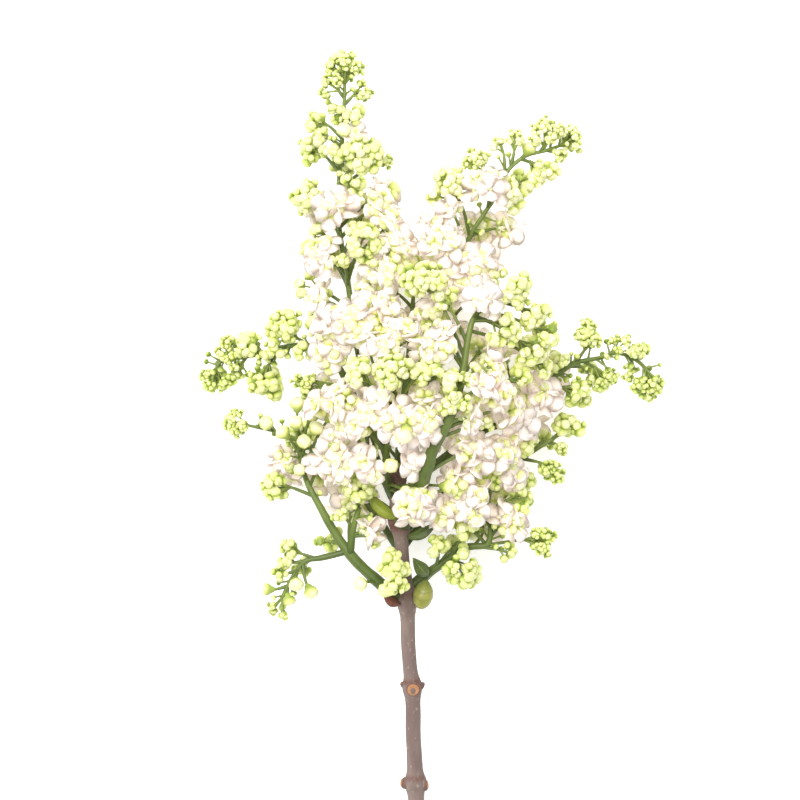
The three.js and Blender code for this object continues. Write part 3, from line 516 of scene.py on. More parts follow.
# the panicles, in millimetres: each axis has a line through it and tufts beside it, every tuft as its x,
# y, z, radius and stage. Buds open sooner with more ripeness, an axis thins sooner with less taper, and
# strayBuds are single buds along its outer part
panicles = {
    "panicle_top": {"ripeness": -0.2, "taper": 0.9, "strayBuds": 22, "axes": [{
        "baseRadius": 1.9, "line": [
            (-22, 4, 42), (-25, 15, 44.5), (-31.5, 38.5, 47), (-38.5, 66, 49), (-41.5, 87, 50),
            (-43.5, 100.5, 51), (-46.5, 119.5, 50), (-47, 137.5, 49), (-45.5, 156, 47), (-44.5, 174.5, 45),
            (-44, 191, 44),
        ], "tufts": [
            (-44, 193.5, 44, 8.5, "tip"), (-51, 185.5, 46, 6, "tip"), (-36, 182.5, 45, 6, "tip"),
            (-47.5, 173.5, 51, 5, "bud"), (-39.5, 171, 50, 5.5, "bud"), (-56, 169, 46, 5.5, "bud"),
            (-58.5, 156, 46, 7.5, "bud"), (-39, 161.5, 50, 4.5, "open"), (-35.5, 151.5, 60, 9.5, "bud"),
            (-49, 154.5, 56, 5.5, "bud"), (-25, 150.5, 48, 4, "tip"), (-39.5, 139.5, 62, 5.5, "bud"),
            (-44.5, 164, 56, 3.5, "bud"), (-22, 137.5, 50, 3.5, "bud"), (-61, 133.5, 52, 8.5, "bud"),
            (-48, 129, 62, 7, "open"), (-28.5, 129.5, 56, 8, "open"), (-24, 120, 58, 7, "open"),
            (-35, 113, 69, 9, "bud"), (-54, 108, 62, 8.5, "open"), (-44, 104.5, 66, 4, "bud"),
            (-61, 93, 50, 6, "bud"), (-27, 98.5, 66, 8.5, "open"), (-40.5, 77, 71, 8.5, "open"),
            (-51, 75.5, 62, 8, "open"), (-26.5, 80, 68, 8.5, "open"), (-45.5, 150.5, 34, 7, "bud"),
            (-53, 127.5, 33, 8, "open"), (-36, 123, 31, 8, "open"), (-49.5, 104.5, 33, 8, "open"),
            (-29, 100.5, 34, 7.5, "open"), (-26, 135, 48, 5.5, "open"), (-56.5, 117.5, 55, 5, "bud"),
            (-19.5, 111.5, 62, 7, "open"), (-31.5, 88, 58, 7.5, "open"), (-55.5, 87, 54, 7, "open"),
            (-18, 100, 56, 7.5, "open"), (-54.5, 162.5, 47, 4.5, "bud"),
        ],
    }]},
    "panicle_upper_right": {"ripeness": 0.25, "taper": 0.55, "strayBuds": 22, "axes": [{
        "baseRadius": 1.9, "line": [
            (-18, 4, 42), (-13, 15.5, 42.5), (-6, 44.5, 43), (2, 75.5, 44), (6.5, 96, 45),
            (12.5, 114.5, 47), (20, 126.5, 49), (27, 137.5, 49), (31, 146.5, 48), (39, 153, 47),
            (48, 155.5, 46), (56, 158.5, 44), (61, 161.5, 43),
        ], "tufts": [
            (60, 161, 43, 7, "tip"), (48.5, 162.5, 48, 7, "tip"), (55, 153.5, 44, 4, "tip"),
            (40.5, 156.5, 48, 3.5, "tip"), (45, 146, 45, 7.5, "bud"), (33.5, 159.5, 50, 5, "tip"),
            (27.5, 158.5, 49, 5, "tip"), (17, 149.5, 50, 6.5, "tip"), (5, 137.5, 55, 9, "bud"),
            (32, 134.5, 51, 7.5, "bud"), (21.5, 138.5, 58, 8, "open"), (5, 127, 58, 5, "open"),
            (-4, 121.5, 54, 6.5, "open"), (0, 110, 61, 8.5, "open"), (17, 103.5, 60, 7.5, "open"),
            (24.5, 97, 58, 5.5, "bud"), (29, 120, 40, 5.5, "open"), (3.5, 94.5, 64, 8, "open"),
            (36.5, 141, 35, 6.5, "bud"), (17, 120, 35, 8, "open"), (5, 102.5, 33, 8, "open"),
            (-0.5, 81.5, 36, 8, "open"), (3, 114.5, 60, 6, "open"), (16.5, 88, 66, 8, "open"),
        ],
    }]},
    "panicle_left": {"ripeness": -0.4, "taper": 1.3, "strayBuds": 44, "axes": [{
        "baseRadius": 2, "line": [
            (-21.5, -5, 40), (-27, 7, 39), (-34.5, 27, 38), (-42.5, 48, 38), (-51, 61, 38), (-61, 66, 38),
            (-71.5, 65.5, 37), (-84, 62, 34), (-94.5, 60.5, 31), (-101.5, 59, 28), (-104.5, 53, 26),
        ], "tufts": [
            (-102.5, 50.5, 25, 7.5, "tip"), (-98.5, 66.5, 33, 6, "tip"), (-88.5, 66.5, 39, 7, "bud"),
            (-95.5, 59, 34, 4.5, "tip"), (-80, 50.5, 31, 9, "bud"), (-77.5, 63.5, 43, 6, "bud"),
            (-70, 74, 44, 9, "bud"), (-63.5, 64, 50, 5.5, "bud"), (-58, 75.5, 52, 7, "bud"),
            (-59.5, 47.5, 38, 8, "tip"), (-49.5, 63, 60, 8, "open"), (-92.5, 54, 27, 4.5, "tip"),
            (-53, 43, 27, 8, "open"),
        ],
    }]},
    "panicle_right": {"ripeness": -0.3, "taper": 0.9, "strayBuds": 30, "axes": [{
        "baseRadius": 2, "line": [
            (-19.5, -6, 40), (-9.5, 5.5, 41), (6.5, 18, 42), (27.5, 31.5, 44), (41, 41, 44), (49.5, 49, 43),
            (61, 57.5, 41), (74, 60.5, 39), (80.5, 62.5, 37), (87.5, 61, 35), (94, 56.5, 33),
            (97, 51.5, 31),
        ], "tufts": [
            (97.5, 48.5, 30, 7.5, "tip"), (83, 65.5, 39, 6.5, "tip"), (92, 63, 38, 5.5, "tip"),
            (74.5, 51.5, 36, 7.5, "tip"), (68, 69.5, 42, 7, "tip"), (61.5, 44, 42, 7.5, "bud"),
            (88.5, 55, 32, 5, "tip"), (54, 59.5, 47, 6, "bud"), (44, 44.5, 52, 8, "open"),
            (34.5, 31.5, 56, 8.5, "open"), (68.5, 54.5, 27, 6, "bud"), (48, 54, 28, 8, "open"),
            (33, 40, 28, 8, "open"), (18, 34.5, 52, 7, "open"),
        ],
    }]},
    "panicle_front": {"ripeness": 0, "taper": 0.75, "strayBuds": 0, "axes": [{
        "baseRadius": 4.6, "line": [
            (-18, -15, 41), (-13.5, -8.5, 51), (-9.5, 0, 65), (-7, 8.5, 75), (-4, 18, 81), (0.5, 26.5, 86),
            (5, 36, 89), (8.5, 48, 87), (10.5, 58.5, 85), (12, 68.5, 84), (15, 78.5, 83), (22.5, 85, 82),
            (33.5, 88.5, 80),
        ], "tufts": [
            (33.5, 88.5, 82, 8, "bud"), (41, 79, 80, 7, "bud"), (47.5, 69.5, 76, 7, "bud"),
            (39.5, 63, 80, 7.5, "bud"), (28.5, 73.5, 88, 7.5, "bud"), (46, 55.5, 68, 5.5, "bud"),
            (35, 51, 78, 6, "bud"), (-7, 94, 84, 9, "bud"), (1, 85, 84, 6, "bud"),
            (7, 48.5, 94, 7.5, "bud"), (10.5, 38.5, 97, 4, "bud"), (19, 85.5, 92, 5.5, "open"),
            (26, 85, 91, 4, "bud"), (-2, 54, 92, 6, "bud"), (12.5, 39.5, 86, 6, "bud"),
            (21, 30, 80, 4, "bud"), (31, 37, 78, 6.5, "open"), (23.5, 45, 86, 8.5, "open"),
            (-0.5, 66, 90, 9.5, "open"), (6.5, 0.5, 66, 5.5, "bud"), (18, 63, 62, 8, "open"),
            (-4, 77, 66, 8, "open"), (13.5, 18, 70, 7, "open"), (-7.5, 40, 78, 7, "open"),
            (22.5, 55.5, 84, 7, "open"), (6, 42, 95, 5, "bud"), (2, 36.5, 94, 4.5, "bud"),
            (15.5, 53, 92, 4.5, "bud"), (12, 32.5, 88, 5, "open"), (17.5, 46, 92, 5.5, "open"),
        ],
    }]},
    "panicle_front_left": {"ripeness": 0, "taper": 1.3, "strayBuds": 0, "axes": [{
        "baseRadius": 2, "line": [
            (-21.5, -3.5, 41), (-24, 1.5, 50), (-25.5, 8.5, 60), (-24, 22.5, 72), (-20.5, 44.5, 82),
        ], "tufts": [
            (-24, 53, 91, 9.5, "bud"), (-37, 53.5, 86, 7.5, "bud"), (-10.5, 52, 90, 6, "bud"),
            (-20, 30, 90, 10, "open"), (-8.5, 30, 88, 7.5, "open"), (-17, 24.5, 99, 3.5, "bud"),
            (-23, 11.5, 80, 3.5, "bud"), (-44, 40, 76, 8.5, "open"), (-41, 32.5, 72, 6.5, "open"),
            (-33.5, 12, 72, 7, "open"), (-44, 10.5, 60, 7.5, "open"), (-13, 11.5, 76, 4.5, "open"),
            (-16.5, -0.5, 70, 3, "bud"), (2.5, 1.5, 66, 3.5, "bud"), (-18.5, 69.5, 80, 8, "open"),
            (-34.5, 68.5, 70, 8, "open"), (-26, 64, 86, 6, "open"), (-7.5, 63, 84, 6, "open"),
            (-54.5, 39, 62, 6.5, "open"), (-12.5, -7.5, 70, 7.5, "open"), (-27, 40.5, 84, 6.5, "open"),
            (-34.5, 31, 82, 7.5, "open"),
        ],
    }]},
    "panicle_lower_left": {"ripeness": -0.4, "taper": 1.3, "strayBuds": 16, "axes": [{
        "baseRadius": 2.9, "line": [
            (-15.5, -52, 32), (-23.5, -47.5, 34), (-30, -42, 36), (-38.5, -34, 38), (-43.5, -28, 39),
            (-49.5, -19, 40), (-56, -7.5, 42), (-61, 2, 42), (-64.5, 12.5, 42), (-65.5, 22.5, 43),
        ], "tufts": [
            (-66, 38.5, 50, 3.5, "bud"), (-66.5, 30, 52, 3.5, "bud"), (-57.5, 27.5, 52, 3.5, "bud"),
            (-72, 25.5, 48, 3.5, "bud"), (-63, 21.5, 50, 3.5, "bud"), (-50.5, 33.5, 52, 3.5, "bud"),
            (-59.5, 34.5, 46, 5.5, "bud"), (-75.5, 1, 44, 7.5, "bud"), (-64.5, 8.5, 49, 3, "bud"),
            (-54.5, 10.5, 48, 7, "open"), (-49, 22.5, 50, 6.5, "open"), (-21.5, -37.5, 52, 9, "bud"),
            (-36.5, -43.5, 46, 3.5, "bud"), (-25.5, -46.5, 46, 3.5, "bud"), (-51, -23.5, 27, 6.5, "bud"),
            (-41, -10.5, 24, 7.5, "open"),
        ],
    }, {
        "baseRadius": 1.9, "line": [
            (-42, -30, 39), (-41, -23.5, 42), (-39.5, -15, 45), (-37, -8.5, 48),
        ], "tufts": [
            (-38, 0, 52, 7.5, "bud"), (-46, -12, 48, 4, "bud"), (-34, -19, 46, 4, "open"),
            (-30.5, -23, 45, 4, "bud"),
        ],
    }, {
        "baseRadius": 1.4, "line": [
            (-43.5, -29, 39), (-49, -30.5, 39), (-55.5, -32, 39), (-62.5, -33.5, 38), (-69, -42, 37),
            (-73.5, -51, 36),
        ], "tufts": [
            (-68, -27.5, 40, 5.5, "bud"), (-71, -33.5, 38, 4.5, "bud"), (-74.5, -39, 37, 4, "bud"),
            (-66.5, -43.5, 43, 3.5, "bud"), (-60, -47, 42, 3.5, "bud"), (-79.5, -46.5, 36, 3, "bud"),
            (-70, -51, 37, 3, "bud"), (-75.5, -55, 35, 6, "tip"), (-64, -36.5, 27, 5, "bud"),
        ],
    }]},
    "panicle_lower_right": {"ripeness": -0.4, "taper": 1.3, "strayBuds": 10, "axes": [{
        "baseRadius": 2.4, "line": [
            (-16, -47.5, 32), (-8, -41, 32.5), (-0.5, -35.5, 37), (12.5, -27, 41), (21.5, -25.5, 42),
            (23, -17, 43), (22, -7.5, 44), (23.5, 0.5, 45),
        ], "tufts": [
            (10, -36, 46, 9.5, "bud"), (-2, -26.5, 49, 6, "bud"), (10.5, -18.5, 53, 6.5, "bud"),
            (31, -29, 42, 4.5, "bud"), (45, -23.5, 39, 7.5, "tip"), (36, -4, 44, 6.5, "bud"),
            (23, 4, 52, 6, "bud"), (8, 5, 60, 6.5, "open"), (2, -11.5, 56, 6.5, "open"),
            (14.5, -6.5, 58, 8.5, "open"), (31, -15, 46, 7.5, "open"), (5, -26.5, 27, 6.5, "bud"),
            (20, -18, 26, 8, "open"), (29.5, -5, 28, 7.5, "open"),
        ],
    }]},
    "panicle_right_lower": {"ripeness": -0.4, "taper": 1.3, "strayBuds": 0, "axes": [{
        "baseRadius": 1.9, "line": [
            (-18, -20.5, 37), (-5, -10, 35), (13.5, 0.5, 35), (32, 10.5, 35), (48, 20.5, 35),
            (56, 25.5, 34.5),
        ], "tufts": [
            (57.5, 29, 35, 7.5, "bud"), (56, 19, 32, 4, "tip"), (50, 9, 37, 7, "tip"),
            (37.5, 20.5, 46, 7.5, "bud"), (40.5, 4, 40, 4.5, "bud"), (27.5, 17, 60, 8, "open"),
            (13.5, 17, 66, 8.5, "open"), (33, 7, 50, 6.5, "open"), (48, 22.5, 22, 6.5, "bud"),
            (27.5, 8, 21, 8, "open"),
        ],
    }]},
    "panicle_back": {"ripeness": 0, "taper": 1.3, "strayBuds": 0, "axes": [{
        "baseRadius": 2.3, "line": [
            (-19, -14.5, 38), (-19.5, 4, 28), (-18, 31.5, 22), (-15, 57, 18), (-13, 82.5, 17),
            (-11.5, 101.5, 14),
        ], "tufts": [
            (-11, 106, 12, 7.5, "bud"), (0.5, 92.5, 13, 8, "open"), (-24, 92.5, 12, 8, "open"),
            (4.5, 70.5, 12, 8, "open"), (-30.5, 70.5, 11, 8, "open"), (-13, 77, 7, 8, "open"),
            (-0.5, 47.5, 12, 7.5, "bud"), (-32.5, 47.5, 12, 8, "open"), (-17, 52, 7, 8, "open"),
            (-4, 26, 12, 8, "open"), (-33.5, 25.5, 12, 7.5, "bud"), (-18, 27, 8, 8, "open"),
        ],
    }]},
    "panicle_back_right": {"ripeness": 0, "taper": 1.3, "strayBuds": 0, "axes": [{
        "baseRadius": 1.8, "line": [
            (-16.5, -26.5, 34), (-0.5, -3.5, 24), (17, 21.5, 18), (32, 44.5, 15), (42.5, 62, 14),
        ], "tufts": [
            (45, 65.5, 13, 7.5, "bud"), (29, 60, 8, 8, "open"), (50, 47.5, 9, 7.5, "open"),
            (22, 40, 8, 7.5, "bud"), (39.5, 28, 10, 7.5, "open"), (11.5, 19.5, 8, 7.5, "open"),
            (23.5, 8.5, 12, 7.5, "open"),
        ],
    }]},
    "panicle_back_left": {"ripeness": -0.45, "taper": 1.3, "strayBuds": 10, "axes": [{
        "baseRadius": 1.8, "line": [
            (-20.5, -26.5, 34), (-32.5, -9, 24), (-48.5, 8.5, 19), (-67, 22.5, 22), (-85.5, 29, 27),
        ], "tufts": [
            (-94.5, 30, 28, 7, "tip"), (-80.5, 30, 34, 3.5, "bud"), (-71.5, 14, 32, 6.5, "open"),
            (-64, 24.5, 9, 7.5, "bud"), (-54.5, 7, 8, 8, "open"), (-46.5, 22.5, 9, 7.5, "open"),
            (-39.5, -1.5, 9, 7.5, "open"), (-35.5, 12.5, 7, 7, "bud"), (-69.5, 9.5, 12, 7, "open"),
        ],
    }]},
}


def bakedMesh(name, seedMesh):
    seed = bpy.data.objects.new(name + "Seed", seedMesh)
    bpy.context.scene.collection.objects.link(seed)
    modifier = seed.modifiers.new("grow", "NODES")
    modifier.node_group = growTree
    for key, value in growSettings.items():
        modifier[growSockets[key]] = value
    seed.update_tag()
    depsgraph = bpy.context.evaluated_depsgraph_get()
    mesh = bpy.data.meshes.new_from_object(seed.evaluated_get(depsgraph), depsgraph=depsgraph)
    seed.modifiers.remove(modifier)
    bpy.data.objects.remove(seed)
    mesh.name = name
    for vertex in mesh.vertices:
        vertex.co.z = max(vertex.co.z, 0.00005)  # petals press flat on the table
    return mesh


tuftHabit = {  # bud 0 is a tight bud and 1 a plump one; florets is how many to each millimetre of radius
    "tip": {"budRadius": (1.05, 1.6), "cover": 0.52, "age": (0.3, 0.7), "bud": 0, "florets": 0},
    "bud": {"budRadius": (1.4, 2.9), "cover": 0.46, "age": (0.35, 0.8), "bud": 1, "florets": 0},
    "open": {"budRadius": (2.2, 2.9), "cover": 0.08, "age": (0.95, 1.3), "bud": 1, "florets": 0.68},
}
stalkHabit = {
    "radius": 0.9, "endRadius": 0.6, "pedicel": 0.38, "steps": 6,
    "lean": 0.75, "leastLean": 5, "lowest": 9, "arch": 0.12,
    "hub": {"tip": 0.85, "bud": 0.85, "open": 0.5},  # how far from the tuft's middle it ends, in radii
    "age": 0.85, "endAge": {"tip": 0.35, "bud": 0.6, "open": 0.6},
}
headHabit = {  # each tuft has a few heads of buds: how many, under which radius of the tuft
    "counts": [(4.5, 1), (7, 4), (math.inf, 7)],
    "reach": 0.62, "spread": 0.52, "back": 0.45,
    "reachDraw": (0.5, 1.35), "spreadDraw": (0.75, 1.2), "budDraw": (0.5, 1.28), "ageDraw": (-0.3, 0.3),
    "budBack": {"one": 0.75, "many": 0.3},
    "fork": 0.3,  # where its pedicels part, from its middle towards the end of the side stalk
    "usual": 0.4, "largest": 0.46,  # bud radii as shares of the tuft's
    "foot": 1.85, "outward": 0.2,  # a bud's length in radii, and how far it leans away from the axis
}
loneBud = {"below": 3.9, "girth": 1.05, "age": (0.6, 0.9)}  # a small tuft is a single large bud
floretHabit = {
    "radius": (6.8, 8.2), "mouth": (0.6, 0.8), "forms": (2, 2, 3, 3, 4, 5),
    "outward": 0.7, "sink": 0.1, "foot": 0.8,  # its lean, how far it stands back, its tube in radii
}
# endAge is how far the axis's age falls from its base to its end; kept small so the axis stays dark green,
# its own colour and partly painted shade among the flowers
axisHabit = {"steps": 120, "endRadius": 0.75, "swelling": 0.25, "swellings": 0.11, "endAge": 0.5}
strayHabit = {
    "along": (0.62, 1.0), "lean": (0.2, 0.8), "reach": (2.5, 7), "girth": (1.1, 1.7), "age": (0.2, 0.8),
    "stalkAge": (0.7, 0.4),
}


class Panicle:
    def __init__(self, table, seed):
        self.draw = random.Random(seed)
        self.ripeness, self.taper = table["ripeness"], table["taper"]
        self.points, self.edges, self.facing = [], [], []
        self.marks = {key: [] for key in ("girth", "age", "tint", "form", "thick")}
        for branch in table["axes"]:
            self.axis(branch, table["strayBuds"] // len(table["axes"]))

    def add(self, point, girth, age, tint=0.0, form=-1, facing=zAxis, thick=0):
        self.points.append(place(point))
        for key, value in zip(self.marks, (girth * 0.001, age, tint, form, thick)):
            self.marks[key].append(float(value))
        self.facing.extend(facing)

    def stalk(self, path, radii, ages, thick=0):
        first = len(self.points)
        for point, radius, age in zip(path, radii, ages):
            self.add(point, radius, age, thick=thick)
        self.edges += [(k, k + 1) for k in range(first, len(self.points) - 1)]

    def neck(self, start, end, ages):  # thins from a side stalk to a pedicel
        self.stalk([start, end], [stalkHabit["endRadius"], stalkHabit["pedicel"]], ages)

    def pedicel(self, start, end, ages):
        self.stalk([start, end], [stalkHabit["pedicel"]] * 2, ages)

    def flower(self, foot, facing, girth, age, form):
        self.add(foot, girth, age, self.draw.random(), form, facing)

    def around(self, outward, count, back, wobble=0.22):  # even directions, further round with more back
        turn = turnedTo(outward)
        start = self.draw.uniform(0, 2 * math.pi)
        for k in range(count):
            height = 1 - (k + 0.3) / count * (1 + back)
            flat = math.sqrt(max(0, 1 - height * height))
            angle = start + k * goldenAngle
            way = turn @ Vector((flat * math.cos(angle), flat * math.sin(angle), height))
            yield (way + Vector([self.draw.uniform(-wobble, wobble) for _ in range(3)])).normalized()

    def axis(self, branch, strays):
        steps = axisHabit["steps"]
        axis, ways, length = pathThrough(branch["line"], steps)
        thick, thin = branch["baseRadius"], axisHabit["endRadius"]
        radii = [thick + (thin - thick) * (k / steps) ** self.taper for k in range(steps + 1)]
        for k in range(steps + 1):
            swell = max(0, noise.noise(axis[k] * axisHabit["swellings"]))
            radii[k] += axisHabit["swelling"] * swell * radii[k]
        # the axis pales only part way towards young green at its end: its own ageing, and partly painted
        # shade where it runs among the flowers
        ages = [1 - axisHabit["endAge"] * k / steps for k in range(0, steps + 1, 2)]
        self.stalk(axis[::2], radii[::2], ages, thick=1)
        for spot in branch["tufts"]:
            self.tuft(axis, ways, length, spot)
        for k in range(strays):
            self.strayBud(axis, ways, k)

    def strayBud(self, axis, ways, number):
        spot = round(self.draw.uniform(*strayHabit["along"]) * (len(axis) - 1))
        side = ways[spot].orthogonal().normalized()
        side.rotate(Quaternion(ways[spot], number * goldenAngle))
        way = (side + ways[spot] * self.draw.uniform(*strayHabit["lean"])).normalized()
        foot = axis[spot] + way * self.draw.uniform(*strayHabit["reach"])
        age = min(1, max(0, self.ripeness + self.draw.uniform(*strayHabit["age"])))
        self.flower(foot, way, self.draw.uniform(*strayHabit["girth"]), age, 0)
        self.neck(axis[spot], foot, strayHabit["stalkAge"])

    def tuft(self, axis, ways, length, spot):
        *centre, radius, stage = spot
        centre = Vector(centre)
        last = len(axis) - 1
        nearest = min(range(len(axis)), key=lambda k: (axis[k] - centre).length)
        back = max(stalkHabit["lean"] * (axis[nearest] - centre).length, stalkHabit["leastLean"])
        start = round(nearest - last * back / length)
        start = max(round(last * stalkHabit["lowest"] / length), min(last - 1, start))
        gap = (axis[start] - centre).length
        bend = axis[start].lerp(centre, 0.5) + ways[start] * stalkHabit["arch"] * gap
        outward = (centre - bend).normalized()
        hub = centre - outward * radius * stalkHabit["hub"][stage]
        steps = [k / stalkHabit["steps"] for k in range(stalkHabit["steps"] + 1)]
        path = [axis[start] * (1 - t) ** 2 + bend * 2 * t * (1 - t) + hub * t * t for t in steps]
        radii = [stalkHabit["radius"] * (1 - t) + stalkHabit["endRadius"] * t for t in steps]
        age, old = stalkHabit["age"], stalkHabit["endAge"][stage]
        self.stalk(path, radii, [age - (age - old) * t for t in steps])
        self.buds(centre, radius, outward, hub, old, tuftHabit[stage])
        if tuftHabit[stage]["florets"]:
            self.florets(centre, radius, outward, hub, old, tuftHabit[stage])

    def buds(self, centre, radius, outward, hub, old, habit):  # a few small heads round the tuft's middle
        if radius < loneBud["below"]:
            girth = radius * loneBud["girth"]
            foot = centre - outward * girth
            self.flower(foot, outward, girth, self.draw.uniform(*loneBud["age"]), habit["bud"])
            self.neck(hub, foot, [old, old * 0.8])
            return
        low, high = habit["budRadius"]
        size = min((low + high) / 2, radius * headHabit["usual"])
        heads = next(count for limit, count in headHabit["counts"] if radius < limit)
        many = heads > 1
        reach, spread = (radius * headHabit["reach"], radius * headHabit["spread"]) if many else (0, radius)
        count = max(3, round(4 * spread**2 * habit["cover"] / size**2))
        back = headHabit["budBack"]["many" if many else "one"]
        for headWay in self.around(outward, heads, headHabit["back"]):
            head = centre + headWay * reach * self.draw.uniform(*headHabit["reachDraw"])
            inner = head.lerp(hub, headHabit["fork"])
            if many:
                self.neck(hub, inner, [old, old * 0.8])
            headAge = self.ripeness + self.draw.uniform(*habit["age"])
            wide = spread * (self.draw.uniform(*headHabit["spreadDraw"]) if many else 1)
            for way in self.around(headWay, max(3, round(count * (wide / spread) ** 2)), back):
                girth = min(self.draw.uniform(low, high), radius * headHabit["largest"])
                age = min(1, max(0, headAge + self.draw.uniform(*headHabit["ageDraw"])))
                tip = head + way * wide * self.draw.uniform(*headHabit["budDraw"])
                facing = (way + outward * headHabit["outward"]).normalized()
                foot = tip - facing * girth * headHabit["foot"]
                self.flower(foot, facing, girth, age, habit["bud"])
                self.pedicel(inner, foot, [old * 0.8, old * 0.5])

    def florets(self, centre, radius, outward, hub, old, habit):
        for way in self.around(outward, max(2, round(radius * habit["florets"])), 0.0):
            girth = self.draw.uniform(*floretHabit["radius"])
            facing = (way + outward * floretHabit["outward"]).normalized()
            mouth = centre + way * radius * self.draw.uniform(*floretHabit["mouth"])
            foot = mouth - outward * radius * floretHabit["sink"] - facing * girth * floretHabit["foot"]
            form = self.draw.choice(floretHabit["forms"])
            self.flower(foot, facing, girth, self.draw.random(), form)
            self.pedicel(hub, foot, [old, old * 0.7])

    def mesh(self, name):
        mesh = bpy.data.meshes.new(name)
        mesh.from_pydata(self.points, self.edges, [])
        for key, values in self.marks.items():
            mesh.attributes.new(key, "FLOAT", "POINT").data.foreach_set("value", values)
        mesh.attributes.new("facing", "FLOAT_VECTOR", "POINT").data.foreach_set("vector", self.facing)
        return mesh


for number, (node, table) in enumerate(panicles.items()):
    panicle = Panicle(table, number + 11)
    first, *others = node.split("_")
    name = first + "".join(word.capitalize() for word in others) + "Flowers"
    mesh = bakedMesh(name, panicle.mesh(name))
    newPiece(name, mesh, "blossom", node)
    flowers = sum(form >= 0 for form in panicle.marks["form"])
    print("lilac:", name, flowers, "flowers,", sum(len(p.vertices) - 2 for p in mesh.polygons), "triangles")
for form in list(flowerForms.objects):
    bpy.data.objects.remove(form)
bpy.data.collections.remove(flowerForms)


woodyStem = {  # lengths in millimetres, but for cutRings
    "line": [
        (-11, -199, 3.5), (-11, -184.5, 6.6), (-11, -157, 12.2), (-11.5, -137.5, 16), (-12.5, -115.5, 20.4),
        (-13, -92.5, 25), (-14, -83.5, 26.8), (-15, -69.5, 29.5), (-15.5, -51, 33), (-17.5, -32.5, 36.5),
        (-18.5, -19, 39), (-20, -9.5, 41), (-20.5, -0.5, 42), (-20.5, 8, 43),
    ],
    "radius": 3.9,
    "taper": 0.9,
    "nodes": [  # y, swelling and length of each thicker place
        (-184.5, 1.7, 4), (-137.5, 1.7, 4), (-92.5, 1.3, 4), (-52, 1.6, 5), (-15, 2.1, 6), (5.5, 2.2, 5),
    ],
    "collars": [  # y, strength and length of each dark ring
        (-181.5, 0.6, 1.2), (-134.5, 0.7, 1.2), (-89.2, 0.9, 1.3),
        (-48.5, 0.5, 1.6), (-15.5, 1.1, 4), (5, 0.6, 5),
    ],
    "rough": [(2.6, 0.09, 0.22), (7, 0.5, 0.07)],  # waves round the stem, waves along it, and height
    "dome": [(0.8, 0.9), (0.45, 1.5)],  # share of the last ring and rise of each ring that closes the top
    "cutAt": (-11, -208, 4),
    "cutFacing": (0.25, 0.9, -0.3),
    "cutDepth": 10,
    "cutRings": (0.00025, 0.0011, 0.0011, 0.0009),  # metres: bark, then pale wood down to the pith
    "sides": 40,
    "steps": 420,
}
scars = [  # leaf scars have a hollow tan face, and stubs have none
    {"at": (-12.6, -93, 28.6), "facing": (0, -0.35, 1), "radii": (3.7, 2.7), "height": 2.6, "face": 1},
    {"at": (-13.6, -92, 21), "facing": (0, -0.35, -1), "radii": (3.7, 2.7), "height": 2.4, "face": 1},
    {"at": (-8.8, -91.5, 25.4), "facing": (1, 0.8, 0), "radii": (2, 0.7), "height": 3.6, "face": 0},
    {"at": (-17.4, -91, 25.4), "facing": (-1, 0.6, 0), "radii": (1.8, 0.8), "height": 2.4, "face": 0},
    {"at": (-16.6, -137.5, 16.4), "facing": (-1, 0.15, 0.2), "radii": (3, 1.7), "height": 3.4, "face": 1},
    {"at": (-7, -138.5, 16.4), "facing": (1, 0.1, 0.2), "radii": (3, 1.9), "height": 2.6, "face": 1},
    {"at": (-11.1, -184.5, 10.4), "facing": (0, -0.3, 1), "radii": (3.4, 2.4), "height": 3, "face": 1},
]
scarSides = 20
scarRings = [  # of a stub and of a scar: shares of half the height, base and end radius, how dark, how tan
    [
        (-1, 1, 0, 0.75, 0), (0, 0.8, 0, 0.75, 0), (0.6, 0.42, 0.42, 0.75, 0),
        (0.9, 0, 1, 0.75, 0), (1, 0, 0.5, 0.75, 0),
    ],
    [
        (-1, 1, 0, 0.4, 0), (0.3, 0.92, 0, 0.4, 0), (0.8, 0, 1.08, 0.9, 0),
        (1, 0, 0.98, 0.4, 1), (0.9, 0, 0.8, 0.4, 1), (0.72, 0, 0.4, 0.4, 1),
    ],
]


def hill(y, places):  # the sum of smooth hills along the stem
    return sum(much * math.exp(-(((y - middle) / size) ** 2)) for middle, much, size in places)


